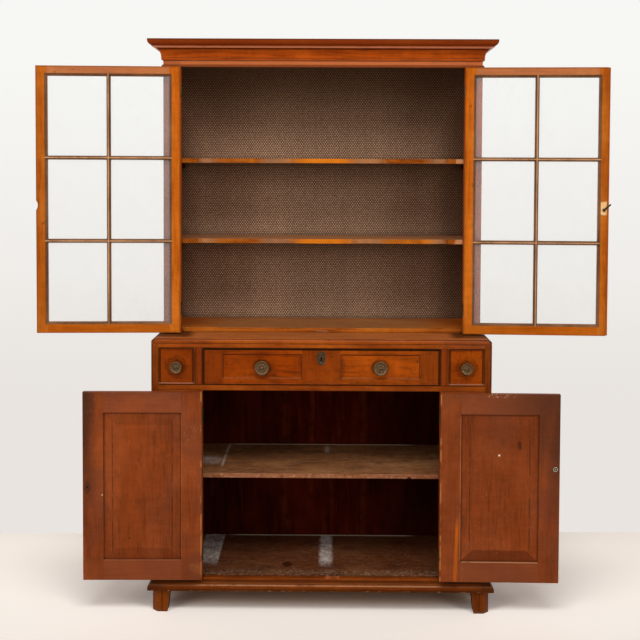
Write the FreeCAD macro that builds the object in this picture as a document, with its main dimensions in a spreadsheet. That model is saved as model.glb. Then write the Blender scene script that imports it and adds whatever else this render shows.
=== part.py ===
"""A two-part press cupboard: a lower case with three drawers over a pair of panelled doors,
and a set-back upper case with a pair of glazed doors, standing on four short feet.

Axes: X runs to the right of someone facing the cupboard, Y from its front to its back, Z up.
The pieces are made with the front of the lower case at Y = 0 and then moved together, so that the
origin lies on the floor under the middle of the whole, open doors included.
"""
import FreeCAD, Part
import math
import os
import re

import Sketcher

doc = FreeCAD.newDocument("press")
sizes = doc.addObject("Spreadsheet::Sheet", "sizes")

SIZES = [
    # lower case
    ("case_width", 1180, "outside width of the lower case"),
    ("case_depth", 470, "front frame to the back of the back boards"),
    ("foot_height", 79, "floor to the underside of the case"),
    ("base_rail", 43, "height of the rail under the lower doors"),
    ("lower_opening", 659, "height of the lower door opening"),
    ("small_drawer", 125, "width of the small drawers' openings"),
    ("drawer_rail", 21, "height of the rail between doors and drawers"),
    ("drawer_opening", 128, "height of the drawer openings"),
    ("top_rail", 13, "height of the rail over the drawers"),
    ("top_slab", 14, "full-width layer of the lower top"),
    ("top_step", 4, "raised layer of the lower top"),
    ("top_inset", 10, "how far the raised layer stands in"),
    ("top_round", 6, "rounded front and side arris of the lower top"),
    ("face_thick", 22, "thickness of the front frames"),
    ("side_thick", 20, "thickness of the lower sides"),
    ("back_thick", 12, "thickness of all back boards"),
    ("board_thick", 18, "thickness of the bottom and top boards"),
    ("corner_stile", 25, "width of the outer front stiles"),
    ("divider", 27.5, "width of the uprights between the drawers"),
    ("divider_bead", 17, "width of the raised bead on those uprights"),
    ("bead_proud", 1.5, "how far that bead stands proud"),
    ("floor_step", 4, "cupboard floor above the bottom rail"),
    ("floor_gap", 1, "clearance behind a closed door"),
    ("left_seam_share", 0.272, "left seam of the lower back boards, as a share of the way out to a side"),
    ("right_seam_share", 0.26, "right seam of the lower back boards, in the same way"),
    ("seam_gap", 1, "open joint between two back boards"),
    ("back_lap", 10, "how far a back board reaches behind its right neighbour"),
    ("shelf_thick", 16, "thickness of every shelf"),
    ("lower_shelf_share", 0.548, "top of the lower shelf, as a share of the lower door opening"),
    ("lower_shelf_setback", 28, "lower shelf behind the front"),
    ("cleat", 18, "square section of the shelf cleats"),
    ("runner_thick", 18, "height of the drawer runners"),
    ("runner_bearing", 9, "how far a runner reaches under a drawer side"),
    # feet and base moulding
    ("foot_top", 61, "width of a foot at its top"),
    ("foot_bottom", 53, "width of a foot at the floor"),
    ("foot_cant", 19, "canted outer corner of a foot"),
    ("foot_inset", 1, "foot inside the face of the case"),
    ("base_mould_high", 36, "height of the base moulding"),
    ("base_mould_out", 14, "projection of the base moulding"),
    ("base_fillet_level", 21, "height of its narrow fillet"),
    ("base_fillet", 3, "height of the fillet itself"),
    ("base_fillet_out", 9, "projection at the fillet"),
    ("base_edge", 6, "upright edge at its foot"),
    ("base_lip", 1.5, "flat on top of it"),
    # drawers
    ("drawer_gap", 1.2, "gap round a drawer front"),
    ("running_gap", 0.4, "drawer above its runner and beside its guides"),
    ("drawer_rear_gap", 28, "room behind a closed drawer"),
    ("drawer_front", 20, "thickness of a drawer front"),
    ("drawer_side", 12, "thickness of a drawer side"),
    ("drawer_bottom", 7, "thickness of a drawer bottom"),
    ("bottom_rise", 8, "drawer bottom above the lower edge of the sides"),
    ("groove", 5, "depth of the grooves for the drawer bottom"),
    ("bead", 4, "width of the bead round a drawer front"),
    ("bead_out", 2.5, "how far that bead stands out"),
    ("side_drop", 8, "drawer sides below the top of the front"),
    ("tail_long", 14, "length of the dovetails"),
    ("tail_wide", 26, "height of a tail at its tip"),
    ("tail_narrow", 20, "height of a tail at its root"),
    ("sunk_outer", 68.5, "end of the middle drawer to its nearer sunk field"),
    ("sunk_inner", 66, "middle of that drawer to a sunk field"),
    ("sunk_margin", 20, "sunk fields in from the edges of the drawer's opening"),
    ("sunk_deep", 4, "depth of the sunk fields"),
    ("sunk_bevel", 6, "width of the sloping edge round them"),
    # brass
    ("knob_wide", 50, "diameter of the middle drawer knobs"),
    ("knob_small_wide", 42, "diameter of the small drawer knobs"),
    ("knob_out", 24, "projection of a knob"),
    ("knob_stem", 5, "radius of a knob's neck, and twice that of its spindle"),
    ("rose_share", 0.8, "width of a knob's rose, as a share of its head"),
    ("rose_thick", 2.4, "thickness of the rose"),
    ("head_share", 0.34, "thickness of a knob's head, as a share of its projection"),
    ("knob_offset", 3, "small drawer knobs below the drawer's middle"),
    ("plate_wide", 31, "width of the keyhole plate"),
    ("plate_high", 50, "height of the keyhole plate"),
    ("plate_thick", 1.6, "thickness of the keyhole plate"),
    ("plate_up", 29, "keyhole plate above the drawer's middle"),
    ("keyhole", 3.5, "radius of the keyhole"),
    ("keyhole_slot", 14, "length of the keyhole's slot"),
    ("keyhole_slot_wide", 4, "width of the keyhole's slot"),
    ("lock_wide", 64, "width of the lock case"),
    ("lock_high", 44, "height of the lock case"),
    ("lock_thick", 9, "thickness of the lock case"),
    # lower doors
    ("door_thick", 22, "thickness of all doors"),
    ("door_gap", 1.5, "gap round a closed door"),
    ("lower_stile", 71, "width of the lower doors' stiles and rails"),
    ("panel_groove", 9, "depth of the panel groove"),
    ("panel_tongue", 7, "thickness of the panel's edge, and width of its groove"),
    ("panel_recess", 8, "panel behind the outer face of the door"),
    ("panel_play", 1, "room for the panel to move in its groove"),
    ("field_bevel", 40, "width of the bevel round the panel's inner face"),
    ("field_rise", 5, "how far the panel's field rises over its edge"),
    ("tenon_long", 45, "length of the lower doors' tenons"),
    ("tenon_inset", 12, "tenons in from the outer edge of a rail"),
    ("lower_open_angle", 179, "how far the lower doors stand open, in degrees"),
    ("catch_inset", 15, "knob spindle in from the free edge"),
    ("catch_share", 0.605, "height of the lower right door's knob, as a share of the opening"),
    ("peg_hole_share", 0.496, "height of the hole in the lower left door, in the same way"),
    ("peg_hole", 3.5, "radius of that hole"),
    ("ring_wide", 17, "diameter of the ring nut inside the lower right door"),
    ("ring_thick", 3, "thickness of the ring nut"),
    ("ring_hole", 3, "radius of the ring nut's eye"),
    ("pull_wide", 30, "diameter of the door knobs"),
    ("pull_out", 22, "projection of the door knobs"),
    # hinges
    ("pin_radius", 1.5, "radius of the hinge pins"),
    ("pin_play", 0.05, "clearance of a pin in its knuckles"),
    ("knuckle", 3, "outer radius of the knuckles"),
    ("knuckle_gap", 0.3, "clearance between knuckles"),
    ("leaf_thick", 1.3, "thickness of a hinge leaf"),
    ("leaf_gap", 0.2, "gap between closed leaves"),
    ("leaf_deep", 18, "leaf behind the front of the frame"),
    ("leaf_long", 45, "length of a hinge"),
    ("hinge_margin", 62, "end of a door to the nearer end of its hinge"),
    # upper case
    ("setback", 144, "upper case behind the lower"),
    ("upper_inset", 22, "sides of the upper case in from those of the lower"),
    ("upper_frame", 63, "width of the upper front stiles"),
    ("upper_height", 1032, "lower top to the top of the upper sides"),
    ("frieze", 81, "height of the rail over the upper doors"),
    ("upper_side", 18, "thickness of the upper sides"),
    ("upper_floor", 16, "thickness of the upper floor"),
    ("upper_back_count", 4, "boards in the upper back"),
    ("lining", 1, "thickness of the cloth lining"),
    ("low_shelf_share", 0.3544, "top of the lower glazed shelf, as a share of the upper opening"),
    ("high_shelf_share", 0.6593, "top of the higher glazed shelf, in the same way"),
    ("shelf_front_gap", 8, "shelves behind the closed doors"),
    ("shelf_tab", 95, "width of the shelves' end tabs"),
    ("shelf_slope", 17, "width of the slope from a tab to the first cusp"),
    ("shelf_lobe_share", 0.39, "half the middle lobe, as a share of the way to the first cusp"),
    ("shelf_cusp_deep", 22, "cusps behind the shelf front"),
    ("shelf_bow", 18, "bow of the shelf front between cusps"),
    # neck moulding and cornice
    ("neck_high", 8, "height of the neck moulding"),
    ("neck_out", 5, "projection of the neck moulding"),
    ("cornice_lap", 58, "how far the cornice reaches down over the case"),
    ("cornice_high", 72, "height of the cornice"),
    ("cornice_out", 50, "projection of the cornice"),
    ("cornice_bead", 9, "height of its lowest bead"),
    ("cornice_bead_out", 4, "projection of the flat under and over the bead"),
    ("cornice_bead_round", 5, "radius of the bead"),
    ("cove_foot", 13, "start of the cove above the cornice's underside"),
    ("cove_foot_out", 7, "projection at the start of the cove"),
    ("cove_head", 47, "end of the cove above the cornice's underside"),
    ("cove_head_out", 33, "projection at the end of the cove"),
    ("cove_round", 36, "radius of the cove"),
    ("crown_foot", 50, "start of the crown above the cornice's underside"),
    ("crown_foot_out", 37, "projection at the start of the crown"),
    ("crown_head", 66, "end of the crown above the cornice's underside"),
    ("crown_round", 18, "radius of the crown"),
    ("mitre_room", 2, "mitre outlines past the mouldings they trim"),
    # upper doors
    ("upper_stile", 39, "width of the glazed doors' stiles"),
    ("upper_door_rail", 35, "height of their top rails"),
    ("upper_door_foot", 39, "height of their bottom rails"),
    ("ledge_gap", 4, "glazed doors above the lower top"),
    ("meeting_lap", 8, "overlap of the two meeting stiles"),
    ("rebate_wide", 8.5, "width of the glazing rebate"),
    ("rebate_deep", 12, "depth of the glazing rebate from the inner face"),
    ("glass_thick", 2.5, "thickness of the panes"),
    ("glass_play", 1, "room round a pane"),
    ("bar_wide", 14, "width of a glazing bar"),
    ("bar_web", 4, "width of a bar's inner web"),
    ("putty_edge", 1, "putty short of the inner face"),
    ("sash_tenon", 20, "length of the glazed doors' tenons"),
    ("sash_tenon_inset", 6, "tenons in from the outer edge of a rail"),
    ("sash_tenon_thick", 7, "thickness of those tenons"),
    ("upper_open_angle", 177, "how far the glazed doors stand open, in degrees"),
    ("latch_inset", 19, "latch spindle in from the free edge"),
    ("latch_share", 0.472, "height of the latch, as a share of the upper opening"),
    ("latch_stem", 4, "radius of the latch spindle"),
    ("latch_play", 0.08, "clearance of the spindle in its hole"),
    ("latch_knob_wide", 24, "diameter of the latch's outer knob"),
    ("latch_long", 31, "spindle to the tip of the latch lever"),
    ("latch_wide", 10, "width of the lever at the spindle"),
    ("latch_tip", 5, "width of the lever's tip"),
    ("latch_thick", 3, "thickness of the lever"),
    ("latch_gap", 0.6, "lever clear of the inner face"),
    ("latch_turn_angle", 41, "lever above level at rest, in degrees"),
    ("wear_share", 0.4806, "height of the worn notch in the left door's edge, in the same way"),
    ("wear_long", 34, "length of the worn notch"),
    ("wear_deep", 5, "depth of the worn notch"),
    ("overrun", 2, "how far cutting shapes pass the faces they cut"),
]
for row, (alias, number, note) in enumerate(SIZES, start=1):
    sizes.set("A%d" % row, alias)
    sizes.set("B%d" % row, str(number))
    sizes.set("C%d" % row, note)
    sizes.setAlias("B%d" % row, alias)
doc.recompute()
ALIASES = {alias for alias, number, note in SIZES}

# Levels and lines that several pieces share, as formulas on the sheet's names
RAIL_TOP = "(foot_height + base_rail)"
DOOR_HEAD = f"({RAIL_TOP} + lower_opening)"
DRAWER_LOW = f"({DOOR_HEAD} + drawer_rail)"
DRAWER_HIGH = f"({DRAWER_LOW} + drawer_opening)"
SLAB_LOW = f"({DRAWER_HIGH} + top_rail)"
LEDGE = f"({SLAB_LOW} + top_slab + top_step)"
CASE_SIDE = "(case_width / 2)"
INNER_SIDE = "(case_width / 2 - side_thick)"
STILE_EDGE = "(case_width / 2 - corner_stile)"
LOWER_HALF = "(case_width / 2 - corner_stile - small_drawer - divider)"
SHELF_TOP = f"({RAIL_TOP} + lower_opening * lower_shelf_share)"
BACK_LINE = "(case_depth - back_thick)"
FRONT_BACK = "(face_thick + floor_gap)"
UPPER_SIDE = "(case_width / 2 - upper_inset)"
UPPER_INNER = f"({UPPER_SIDE} - upper_side)"
UPPER_HALF = f"({UPPER_SIDE} - upper_frame)"
UPPER_BACK = "(setback + face_thick)"
UPPER_TOP = f"({LEDGE} + upper_height)"
UPPER_HEAD = f"({UPPER_TOP} - frieze)"
GLAZED_SHELVES = [f"({LEDGE} + (upper_height - frieze) * low_shelf_share)",
                  f"({LEDGE} + (upper_height - frieze) * high_shelf_share)"]
PIN_PROUD = "(knuckle + knuckle_gap)"


def on_sheet(formula):
    """The formula with each name of the sheet written as a reference to its cell."""
    return re.sub(r"[a-z_]+", lambda word: "sizes." + word[0] if word[0] in ALIASES else word[0], formula)


def number(formula):
    """The present value of a formula, as a plain number."""
    return float(sizes.evalExpression(on_sheet(formula)))


def bind(piece, path, formula):
    piece.setExpression(path, on_sheet(formula))


def place(piece, across="0", along="0", up="0"):
    """Put a piece at a point given by formulas."""
    for axis, formula in (("x", across), ("y", along), ("z", up)):
        bind(piece, "Placement.Base." + axis, formula)
    return piece


def board(name, left, right, front, back, low, high):
    """A rectangular board between six planes."""
    piece = doc.addObject("Part::Box", name)
    bind(piece, "Length", f"({right}) - ({left})")
    bind(piece, "Width", f"({back}) - ({front})")
    bind(piece, "Height", f"({high}) - ({low})")
    return place(piece, left, front, low)


def joined(name, *pieces):
    """Several solids glued into one."""
    piece = doc.addObject("Part::MultiFuse", name)
    piece.Shapes = list(pieces)
    piece.Refine = True
    return piece


def group(name, *pieces):
    """Separate solids that are kept together."""
    piece = doc.addObject("Part::Compound", name)
    piece.Links = list(pieces)
    return piece


def cut(name, base, *tools):
    """The base with the tools taken out of it."""
    piece = doc.addObject("Part::Cut", name)
    piece.Base = base
    piece.Tool = tools[0] if len(tools) == 1 else group(name + "_tools", *tools)
    return piece


def common(name, first, second):
    piece = doc.addObject("Part::Common", name)
    piece.Base = first
    piece.Tool = second
    return piece


def mirrored(name, source):
    """The same piece for the other side of the cupboard."""
    piece = doc.addObject("Part::Mirroring", name)
    piece.Source = source
    piece.Normal = FreeCAD.Vector(1, 0, 0)
    return piece


def rod(name, radius, length, across, along, up, turn=None):
    """A round rod from a point, along Z, or turned by a rotation."""
    piece = doc.addObject("Part::Cylinder", name)
    bind(piece, "Radius", radius)
    bind(piece, "Height", length)
    if turn is not None:
        piece.Placement = FreeCAD.Placement(FreeCAD.Vector(), turn)
    return place(piece, across, along, up)


UPRIGHT = FreeCAD.Vector(0, 0, 1)
TO_BACK = FreeCAD.Rotation(FreeCAD.Vector(1, 0, 0), -90)


def hang(piece, across, along, angle):
    """Turn a piece that was made in its closed place about an upright pin."""
    piece.Placement = FreeCAD.Placement(FreeCAD.Vector(), FreeCAD.Rotation(UPRIGHT, 1))
    bind(piece, "Placement.Rotation.Angle", angle)
    bind(piece, "Placement.Base.x", f"({across}) * (1 - cos({angle})) + ({along}) * sin({angle})")
    bind(piece, "Placement.Base.y", f"({along}) * (1 - cos({angle})) - ({across}) * sin({angle})")
    return piece


def outline(owner, name, points):
    """A closed sketch through points given by formulas. A point may carry the radius of the arc
    that leads on to the next one: positive bulges to the right of the way, negative to the left."""
    add = owner.newObject if owner else doc.addObject
    sketch = add("Sketcher::SketchObject", name)
    spots = [FreeCAD.Vector(number(point[0]), number(point[1]), 0) for point in points]
    starts = []
    for index, point in enumerate(points):
        here = spots[index]
        there = spots[(index + 1) % len(points)]
        if len(point) == 2:
            sketch.addGeometry(Part.LineSegment(here, there), False)
            starts.append(1)
            continue
        radius = number(point[2])
        chord = there - here
        reach = math.sqrt(radius ** 2 - (chord.Length / 2) ** 2)
        left = FreeCAD.Vector(-chord.y, chord.x, 0).normalize()
        centre = here + chord * 0.5 + left * math.copysign(reach, radius)
        circle = Part.Circle(centre, UPRIGHT, abs(radius))
        ends = (here, there) if radius > 0 else (there, here)
        angles = [math.atan2(end.y - centre.y, end.x - centre.x) for end in ends]
        sketch.addGeometry(Part.ArcOfCircle(circle, angles[0], angles[1]), False)
        starts.append(1 if radius > 0 else 2)
    for index, point in enumerate(points):
        after = (index + 1) % len(points)
        end = 3 - starts[index]
        sketch.addConstraint(Sketcher.Constraint("Coincident", index, end, after, starts[after]))
        for kind, formula in (("DistanceX", point[0]), ("DistanceY", point[1])):
            rule = sketch.addConstraint(Sketcher.Constraint(kind, index, starts[index], number(formula)))
            bind(sketch, "Constraints[%d]" % rule, formula)
        if len(point) == 3:
            rule = sketch.addConstraint(Sketcher.Constraint("Radius", index, abs(number(point[2]))))
            bind(sketch, "Constraints[%d]" % rule, f"abs({point[2]})")
    return sketch


def plane_of(body, role):
    return next(plane for plane in body.Origin.OriginFeatures if plane.Role == role)


def attach(sketch, body, role):
    sketch.AttachmentSupport = [(plane_of(body, role), "")]
    sketch.MapMode = "FlatFace"
    return sketch


def extruded(name, sketch, length):
    """A sketch drawn out along its own normal."""
    piece = doc.addObject("Part::Extrusion", name)
    piece.Base = sketch
    piece.DirMode = "Normal"
    piece.Solid = True
    bind(piece, "LengthFwd", length)
    return piece


def turned(name, points, axis_role="Y_Axis"):
    """A lathe-turned body: the outline, on the XY plane, spun about the Y axis."""
    body = doc.addObject("PartDesign::Body", name)
    sketch = attach(outline(body, name + "_profile", points), body, "XY_Plane")
    spin = body.newObject("PartDesign::Revolution", name + "_turning")
    spin.Profile = sketch
    spin.ReferenceAxis = (plane_of(body, axis_role), [""])
    spin.Angle = 360
    return body


def moulding(name, profile, half, front, back, low, out):
    """Three mitred strips of one profile, round the front and both sides of a case.
    The profile runs outwards and upwards from the case's face."""
    reach = f"({out} + mitre_room)"
    height = max((point[1] for point in profile), key=number)
    ways = {
        "front": (FreeCAD.Rotation(FreeCAD.Vector(0, -1, 0), UPRIGHT, FreeCAD.Vector(-1, 0, 0), "ZXY"),
                  f"{half} + {reach}", front, f"2 * ({half} + {reach})",
                  [(f"-{half} - {reach}", f"{front} - {reach}"), (f"{half} + {reach}", f"{front} - {reach}"),
                   (half, front), (f"-{half}", front)]),
        "left": (FreeCAD.Rotation(FreeCAD.Vector(-1, 0, 0), UPRIGHT, FreeCAD.Vector(0, 1, 0), "ZXY"),
                 f"-{half}", f"{front} - {reach}", f"{back} - {front} + {reach}",
                 [(f"-{half} - {reach}", f"{front} - {reach}"), (f"-{half}", front),
                  (f"-{half}", back), (f"-{half} - {reach}", back)]),
    }
    strips = []
    for side, (turn, across, along, length, plan) in ways.items():
        section = outline(None, f"{name}_{side}_section", profile)
        section.Placement = FreeCAD.Placement(FreeCAD.Vector(), turn)
        place(section, across, along, low)
        run = extruded(f"{name}_{side}_run", section, length)
        ground = place(outline(None, f"{name}_{side}_plan", plan), up=low)
        mitre = extruded(f"{name}_{side}_mitre", ground, height)
        strips.append(common(f"{name}_{side}", run, mitre))
    return strips + [mirrored(f"{name}_right", strips[-1])]


def back_boards(name, edges, low, high):
    """Upright boards between the edges, half-lapped: each reaches behind its right neighbour."""
    middle = f"({BACK_LINE} + case_depth) / 2"
    boards = []
    for index, (left, right) in enumerate(zip(edges, edges[1:])):
        rear_left = f"{left} + back_lap" if index > 0 else left
        rear_right = f"{right} + back_lap" if index < len(edges) - 2 else right
        front = board(f"{name}_{index + 1}_front", f"{left} + seam_gap / 2", f"{right} - seam_gap / 2",
                      BACK_LINE, middle, low, high)
        rear = board(f"{name}_{index + 1}_rear", f"{rear_left} + seam_gap / 2",
                     f"{rear_right} - seam_gap / 2", middle, "case_depth", low, high)
        boards.append(joined(f"{name}_{index + 1}", front, rear))
    return boards


# Lower case: sides, bottom, back and front frame
board("lower_side_left", f"-{CASE_SIDE}", f"-{INNER_SIDE}", "face_thick", "case_depth",
      "foot_height", SLAB_LOW)
mirrored("lower_side_right", doc.lower_side_left)
board("lower_floor", f"-{INNER_SIDE}", INNER_SIDE, FRONT_BACK, BACK_LINE,
      f"{RAIL_TOP} + floor_step - board_thick", f"{RAIL_TOP} + floor_step")
seams = [f"-{INNER_SIDE}", f"-{INNER_SIDE} * left_seam_share", f"{INNER_SIDE} * right_seam_share", INNER_SIDE]
group("lower_back_boards", *back_boards("lower_back", seams, "foot_height", SLAB_LOW))
group("lower_sides", doc.lower_side_left, doc.lower_side_right)

corner = board("corner_stile_left", f"-{CASE_SIDE}", f"-{STILE_EDGE}", "0", "face_thick",
               "foot_height", SLAB_LOW)
group("corner_stiles", corner, mirrored("corner_stile_right", corner))


def hinge_lows(low, high):
    """The lower ends of a door's two hinges."""
    return [f"({low} + hinge_margin)", f"({high} - hinge_margin - leaf_long)"]


LOWER_DOOR_LOW = f"({RAIL_TOP} + door_gap)"
LOWER_DOOR_HIGH = f"({DOOR_HEAD} - door_gap)"
UPPER_DOOR_LOW = f"({LEDGE} + ledge_gap)"
UPPER_DOOR_HIGH = f"({UPPER_HEAD} - door_gap)"
LOWER_PIN = f"(-{LOWER_HALF} + door_gap / 2)"
UPPER_PIN = f"(-{UPPER_HALF} + door_gap / 2)"


def leaf_beds(name, pin, front, low, high, on_door):
    """The shallow beds that two hinge leaves are let into."""
    near = f"{pin} + leaf_gap / 2"
    far = f"{pin} + leaf_gap / 2 + leaf_thick"
    if not on_door:
        near, far = (f"{pin} - leaf_gap / 2 - leaf_thick", f"{pin} - leaf_gap / 2")
    return [
        board(f"{name}_{index}", near, far, f"{front} - overrun", f"{front} + leaf_deep", level,
              f"{level} + leaf_long")
        for index, level in enumerate(hinge_lows(low, high))
    ]


wide = board("door_stile_blank", f"-{STILE_EDGE}", f"-{LOWER_HALF}", "0", "face_thick", RAIL_TOP, DOOR_HEAD)
wide = cut("door_stile_left", wide,
           *leaf_beds("lower_bed", LOWER_PIN, "0", LOWER_DOOR_LOW, LOWER_DOOR_HIGH, False))
group("door_stiles", wide, mirrored("door_stile_right", wide))
base_rail = board("base_rail_front", f"-{STILE_EDGE}", STILE_EDGE, "0", "face_thick", "foot_height", RAIL_TOP)
door_rail = board("drawer_rail_front", f"-{STILE_EDGE}", STILE_EDGE, "0", "face_thick", DOOR_HEAD, DRAWER_LOW)
head_rail = board("top_rail_front", f"-{STILE_EDGE}", STILE_EDGE, "0", "face_thick", DRAWER_HIGH, SLAB_LOW)
group("front_rails", base_rail, door_rail, head_rail)

# Uprights between the drawers, each with a raised bead down its front
DIVIDER_MIDDLE = f"({LOWER_HALF} + divider / 2)"
upright = joined(
    "divider_left",
    board("divider_blank", f"-{LOWER_HALF} - divider", f"-{LOWER_HALF}", "0", "face_thick",
          DRAWER_LOW, DRAWER_HIGH),
    board("divider_face", f"-{DIVIDER_MIDDLE} - divider_bead / 2", f"-{DIVIDER_MIDDLE} + divider_bead / 2",
          "-bead_proud", "0", DRAWER_LOW, DRAWER_HIGH))
group("drawer_dividers", upright, mirrored("divider_right", upright))
partition = board("partition_left", f"-{LOWER_HALF} - divider", f"-{LOWER_HALF}", "face_thick", BACK_LINE,
                  DRAWER_LOW, DRAWER_HIGH)
group("drawer_partitions", partition, mirrored("partition_right", partition))


def drawer_strips(name, low, high):
    """Four strips from front frame to back boards: under or over each pair of drawer sides."""
    inner = board(f"{name}_inner", f"-{LOWER_HALF} - divider - drawer_gap - runner_bearing",
                  f"-{LOWER_HALF} + drawer_gap + runner_bearing", "face_thick", BACK_LINE, low, high)
    outer = board(f"{name}_outer", f"-{INNER_SIDE}", f"-{STILE_EDGE} + drawer_gap + runner_bearing",
                  "face_thick", BACK_LINE, low, high)
    return [inner, outer, mirrored(f"{name}_inner_right", inner), mirrored(f"{name}_outer_right", outer)]


guide = board("guide_left", f"-{INNER_SIDE}", f"-{STILE_EDGE}", "face_thick", BACK_LINE, DRAWER_LOW,
              f"{DRAWER_LOW} + runner_thick")
group("drawer_runners", *drawer_strips("runner", f"{DRAWER_LOW} - runner_thick", DRAWER_LOW),
      guide, mirrored("guide_right", guide))
group("drawer_kickers", *drawer_strips("kicker", DRAWER_HIGH, SLAB_LOW))

# Lower shelf and every cleat
board("lower_shelf", f"-{INNER_SIDE}", INNER_SIDE, "lower_shelf_setback", BACK_LINE,
      f"{SHELF_TOP} - shelf_thick", SHELF_TOP)
cleats = [board("lower_cleat", f"-{INNER_SIDE}", f"-{INNER_SIDE} + cleat", "lower_shelf_setback", BACK_LINE,
                f"{SHELF_TOP} - shelf_thick - cleat", f"{SHELF_TOP} - shelf_thick")]
for index, level in enumerate(GLAZED_SHELVES, start=1):
    cleats.append(board(f"upper_cleat_{index}", f"-{UPPER_INNER}", f"-{UPPER_INNER} + cleat",
                        f"{UPPER_BACK} + shelf_front_gap", f"{BACK_LINE} - lining",
                        f"{level} - shelf_thick - cleat", f"{level} - shelf_thick"))
cleats += [mirrored(f"{piece.Name}_right", piece) for piece in list(cleats)]
group("shelf_cleats", *cleats)

# Moulded top of the lower case: a full slab with a rounded arris, and a thinner layer standing in
top = doc.addObject("PartDesign::Body", "lower_top")
slab_plan = attach(outline(top, "slab_plan", [
    (f"-{CASE_SIDE}", "0"), (CASE_SIDE, "0"), (CASE_SIDE, "case_depth"), (f"-{CASE_SIDE}", "case_depth")]),
    top, "XY_Plane")
slab = top.newObject("PartDesign::Pad", "slab")
slab.Profile = slab_plan
bind(slab, "Length", "top_slab")
doc.recompute()


def slab_arris(edge):
    """Whether an edge is the slab's top edge at the front or at a side."""
    box = edge.BoundBox
    on_top = box.ZMin > number("top_slab / 2")
    return on_top and box.YMin < number("case_depth / 2")


rounding = top.newObject("PartDesign::Fillet", "slab_rounding")
rounding.Base = (slab, [f"Edge{index}" for index, edge in enumerate(slab.Shape.Edges, start=1)
                        if slab_arris(edge)])
bind(rounding, "Radius", "top_round")
step_side = f"({CASE_SIDE} - top_inset)"
step_plan = outline(top, "step_plan", [
    (f"-{step_side}", "top_inset"), (step_side, "top_inset"), (step_side, "case_depth"),
    (f"-{step_side}", "case_depth")])
attach(step_plan, top, "XY_Plane")
step = top.newObject("PartDesign::Pad", "step")
step.Profile = step_plan
bind(step, "Length", "top_slab + top_step")
place(top, up=SLAB_LOW)

# Base moulding: an ovolo, a narrow fillet and a cove
group("base_moulding", *moulding(
    "base_strip",
    [("0", "0"), ("base_mould_out", "0"),
     ("base_mould_out", "base_edge", "2 * base_edge + base_fillet_level / 3"),
     ("base_fillet_out", "base_fillet_level"), ("base_fillet_out - base_fillet", "base_fillet_level"),
     ("base_fillet_out - base_fillet", "base_fillet_level + base_fillet", "-base_mould_out"),
     ("base_lip", "base_mould_high"), ("0", "base_mould_high")],
    CASE_SIDE, "0", "case_depth", "foot_height", "base_mould_out"))


# Feet: square blocks, tapered on their inner sides and canted at the outer corner
def foot_plan(body, name, width, level):
    sketch = outline(body, name, [
        ("foot_cant", "0"), (width, "0"), (width, width), ("0", width), ("0", "foot_cant")])
    attach(sketch, body, "XY_Plane")
    bind(sketch, "AttachmentOffset.Base.z", level)
    return sketch


foot = doc.addObject("PartDesign::Body", "foot_front_left")
foot_low = foot_plan(foot, "foot_low", "foot_bottom", "0")
foot_high = foot_plan(foot, "foot_high", "foot_top", "foot_height")
taper = foot.newObject("PartDesign::AdditiveLoft", "foot_taper")
taper.Profile = foot_low
taper.Sections = [foot_high]
taper.Ruled = True
place(foot, f"-{CASE_SIDE} + foot_inset", "foot_inset")
back_foot = doc.addObject("Part::Mirroring", "foot_back_left")
back_foot.Source = foot
back_foot.Normal = FreeCAD.Vector(0, 1, 0)
place(back_foot, along="case_depth")
group("feet", foot, back_foot, mirrored("foot_front_right", foot), mirrored("foot_back_right", back_foot))


# Drawers: a beaded front, sides dovetailed into it, a back and a grooved-in bottom
def knob(name, wide, out, tail):
    """A turned knob with a rose behind it and a spindle of a given length, facing -Y."""
    rose = f"{wide} * rose_share / 2"
    neck_end = f"-{out} * (1 - head_share)"
    return turned(name, [
        ("0", tail), ("knob_stem / 2", tail), ("knob_stem / 2", "0"), (rose, "0"), (rose, "-rose_thick"),
        ("knob_stem", "-rose_thick"), ("knob_stem", neck_end), (f"{wide} / 2", neck_end),
        (f"{wide} / 2", f"-{out}"), ("0", f"-{out}")])


def dovetail(name, outer, inner, front, back, middle, grows):
    """One tail across a drawer side's thickness, growing or shrinking towards the back."""
    tail = doc.addObject("Part::Wedge", name)
    widths = ("tail_narrow", "tail_wide") if grows else ("tail_wide", "tail_narrow")
    bind(tail, "Ymin", front)
    bind(tail, "Ymax", back)
    for mark, width in (("", widths[0]), ("2", widths[1])):
        bind(tail, f"X{mark}min", outer)
        bind(tail, f"X{mark}max", inner)
        bind(tail, f"Z{mark}min", f"{middle} - {width} / 2")
        bind(tail, f"Z{mark}max", f"{middle} + {width} / 2")
    return tail


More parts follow.
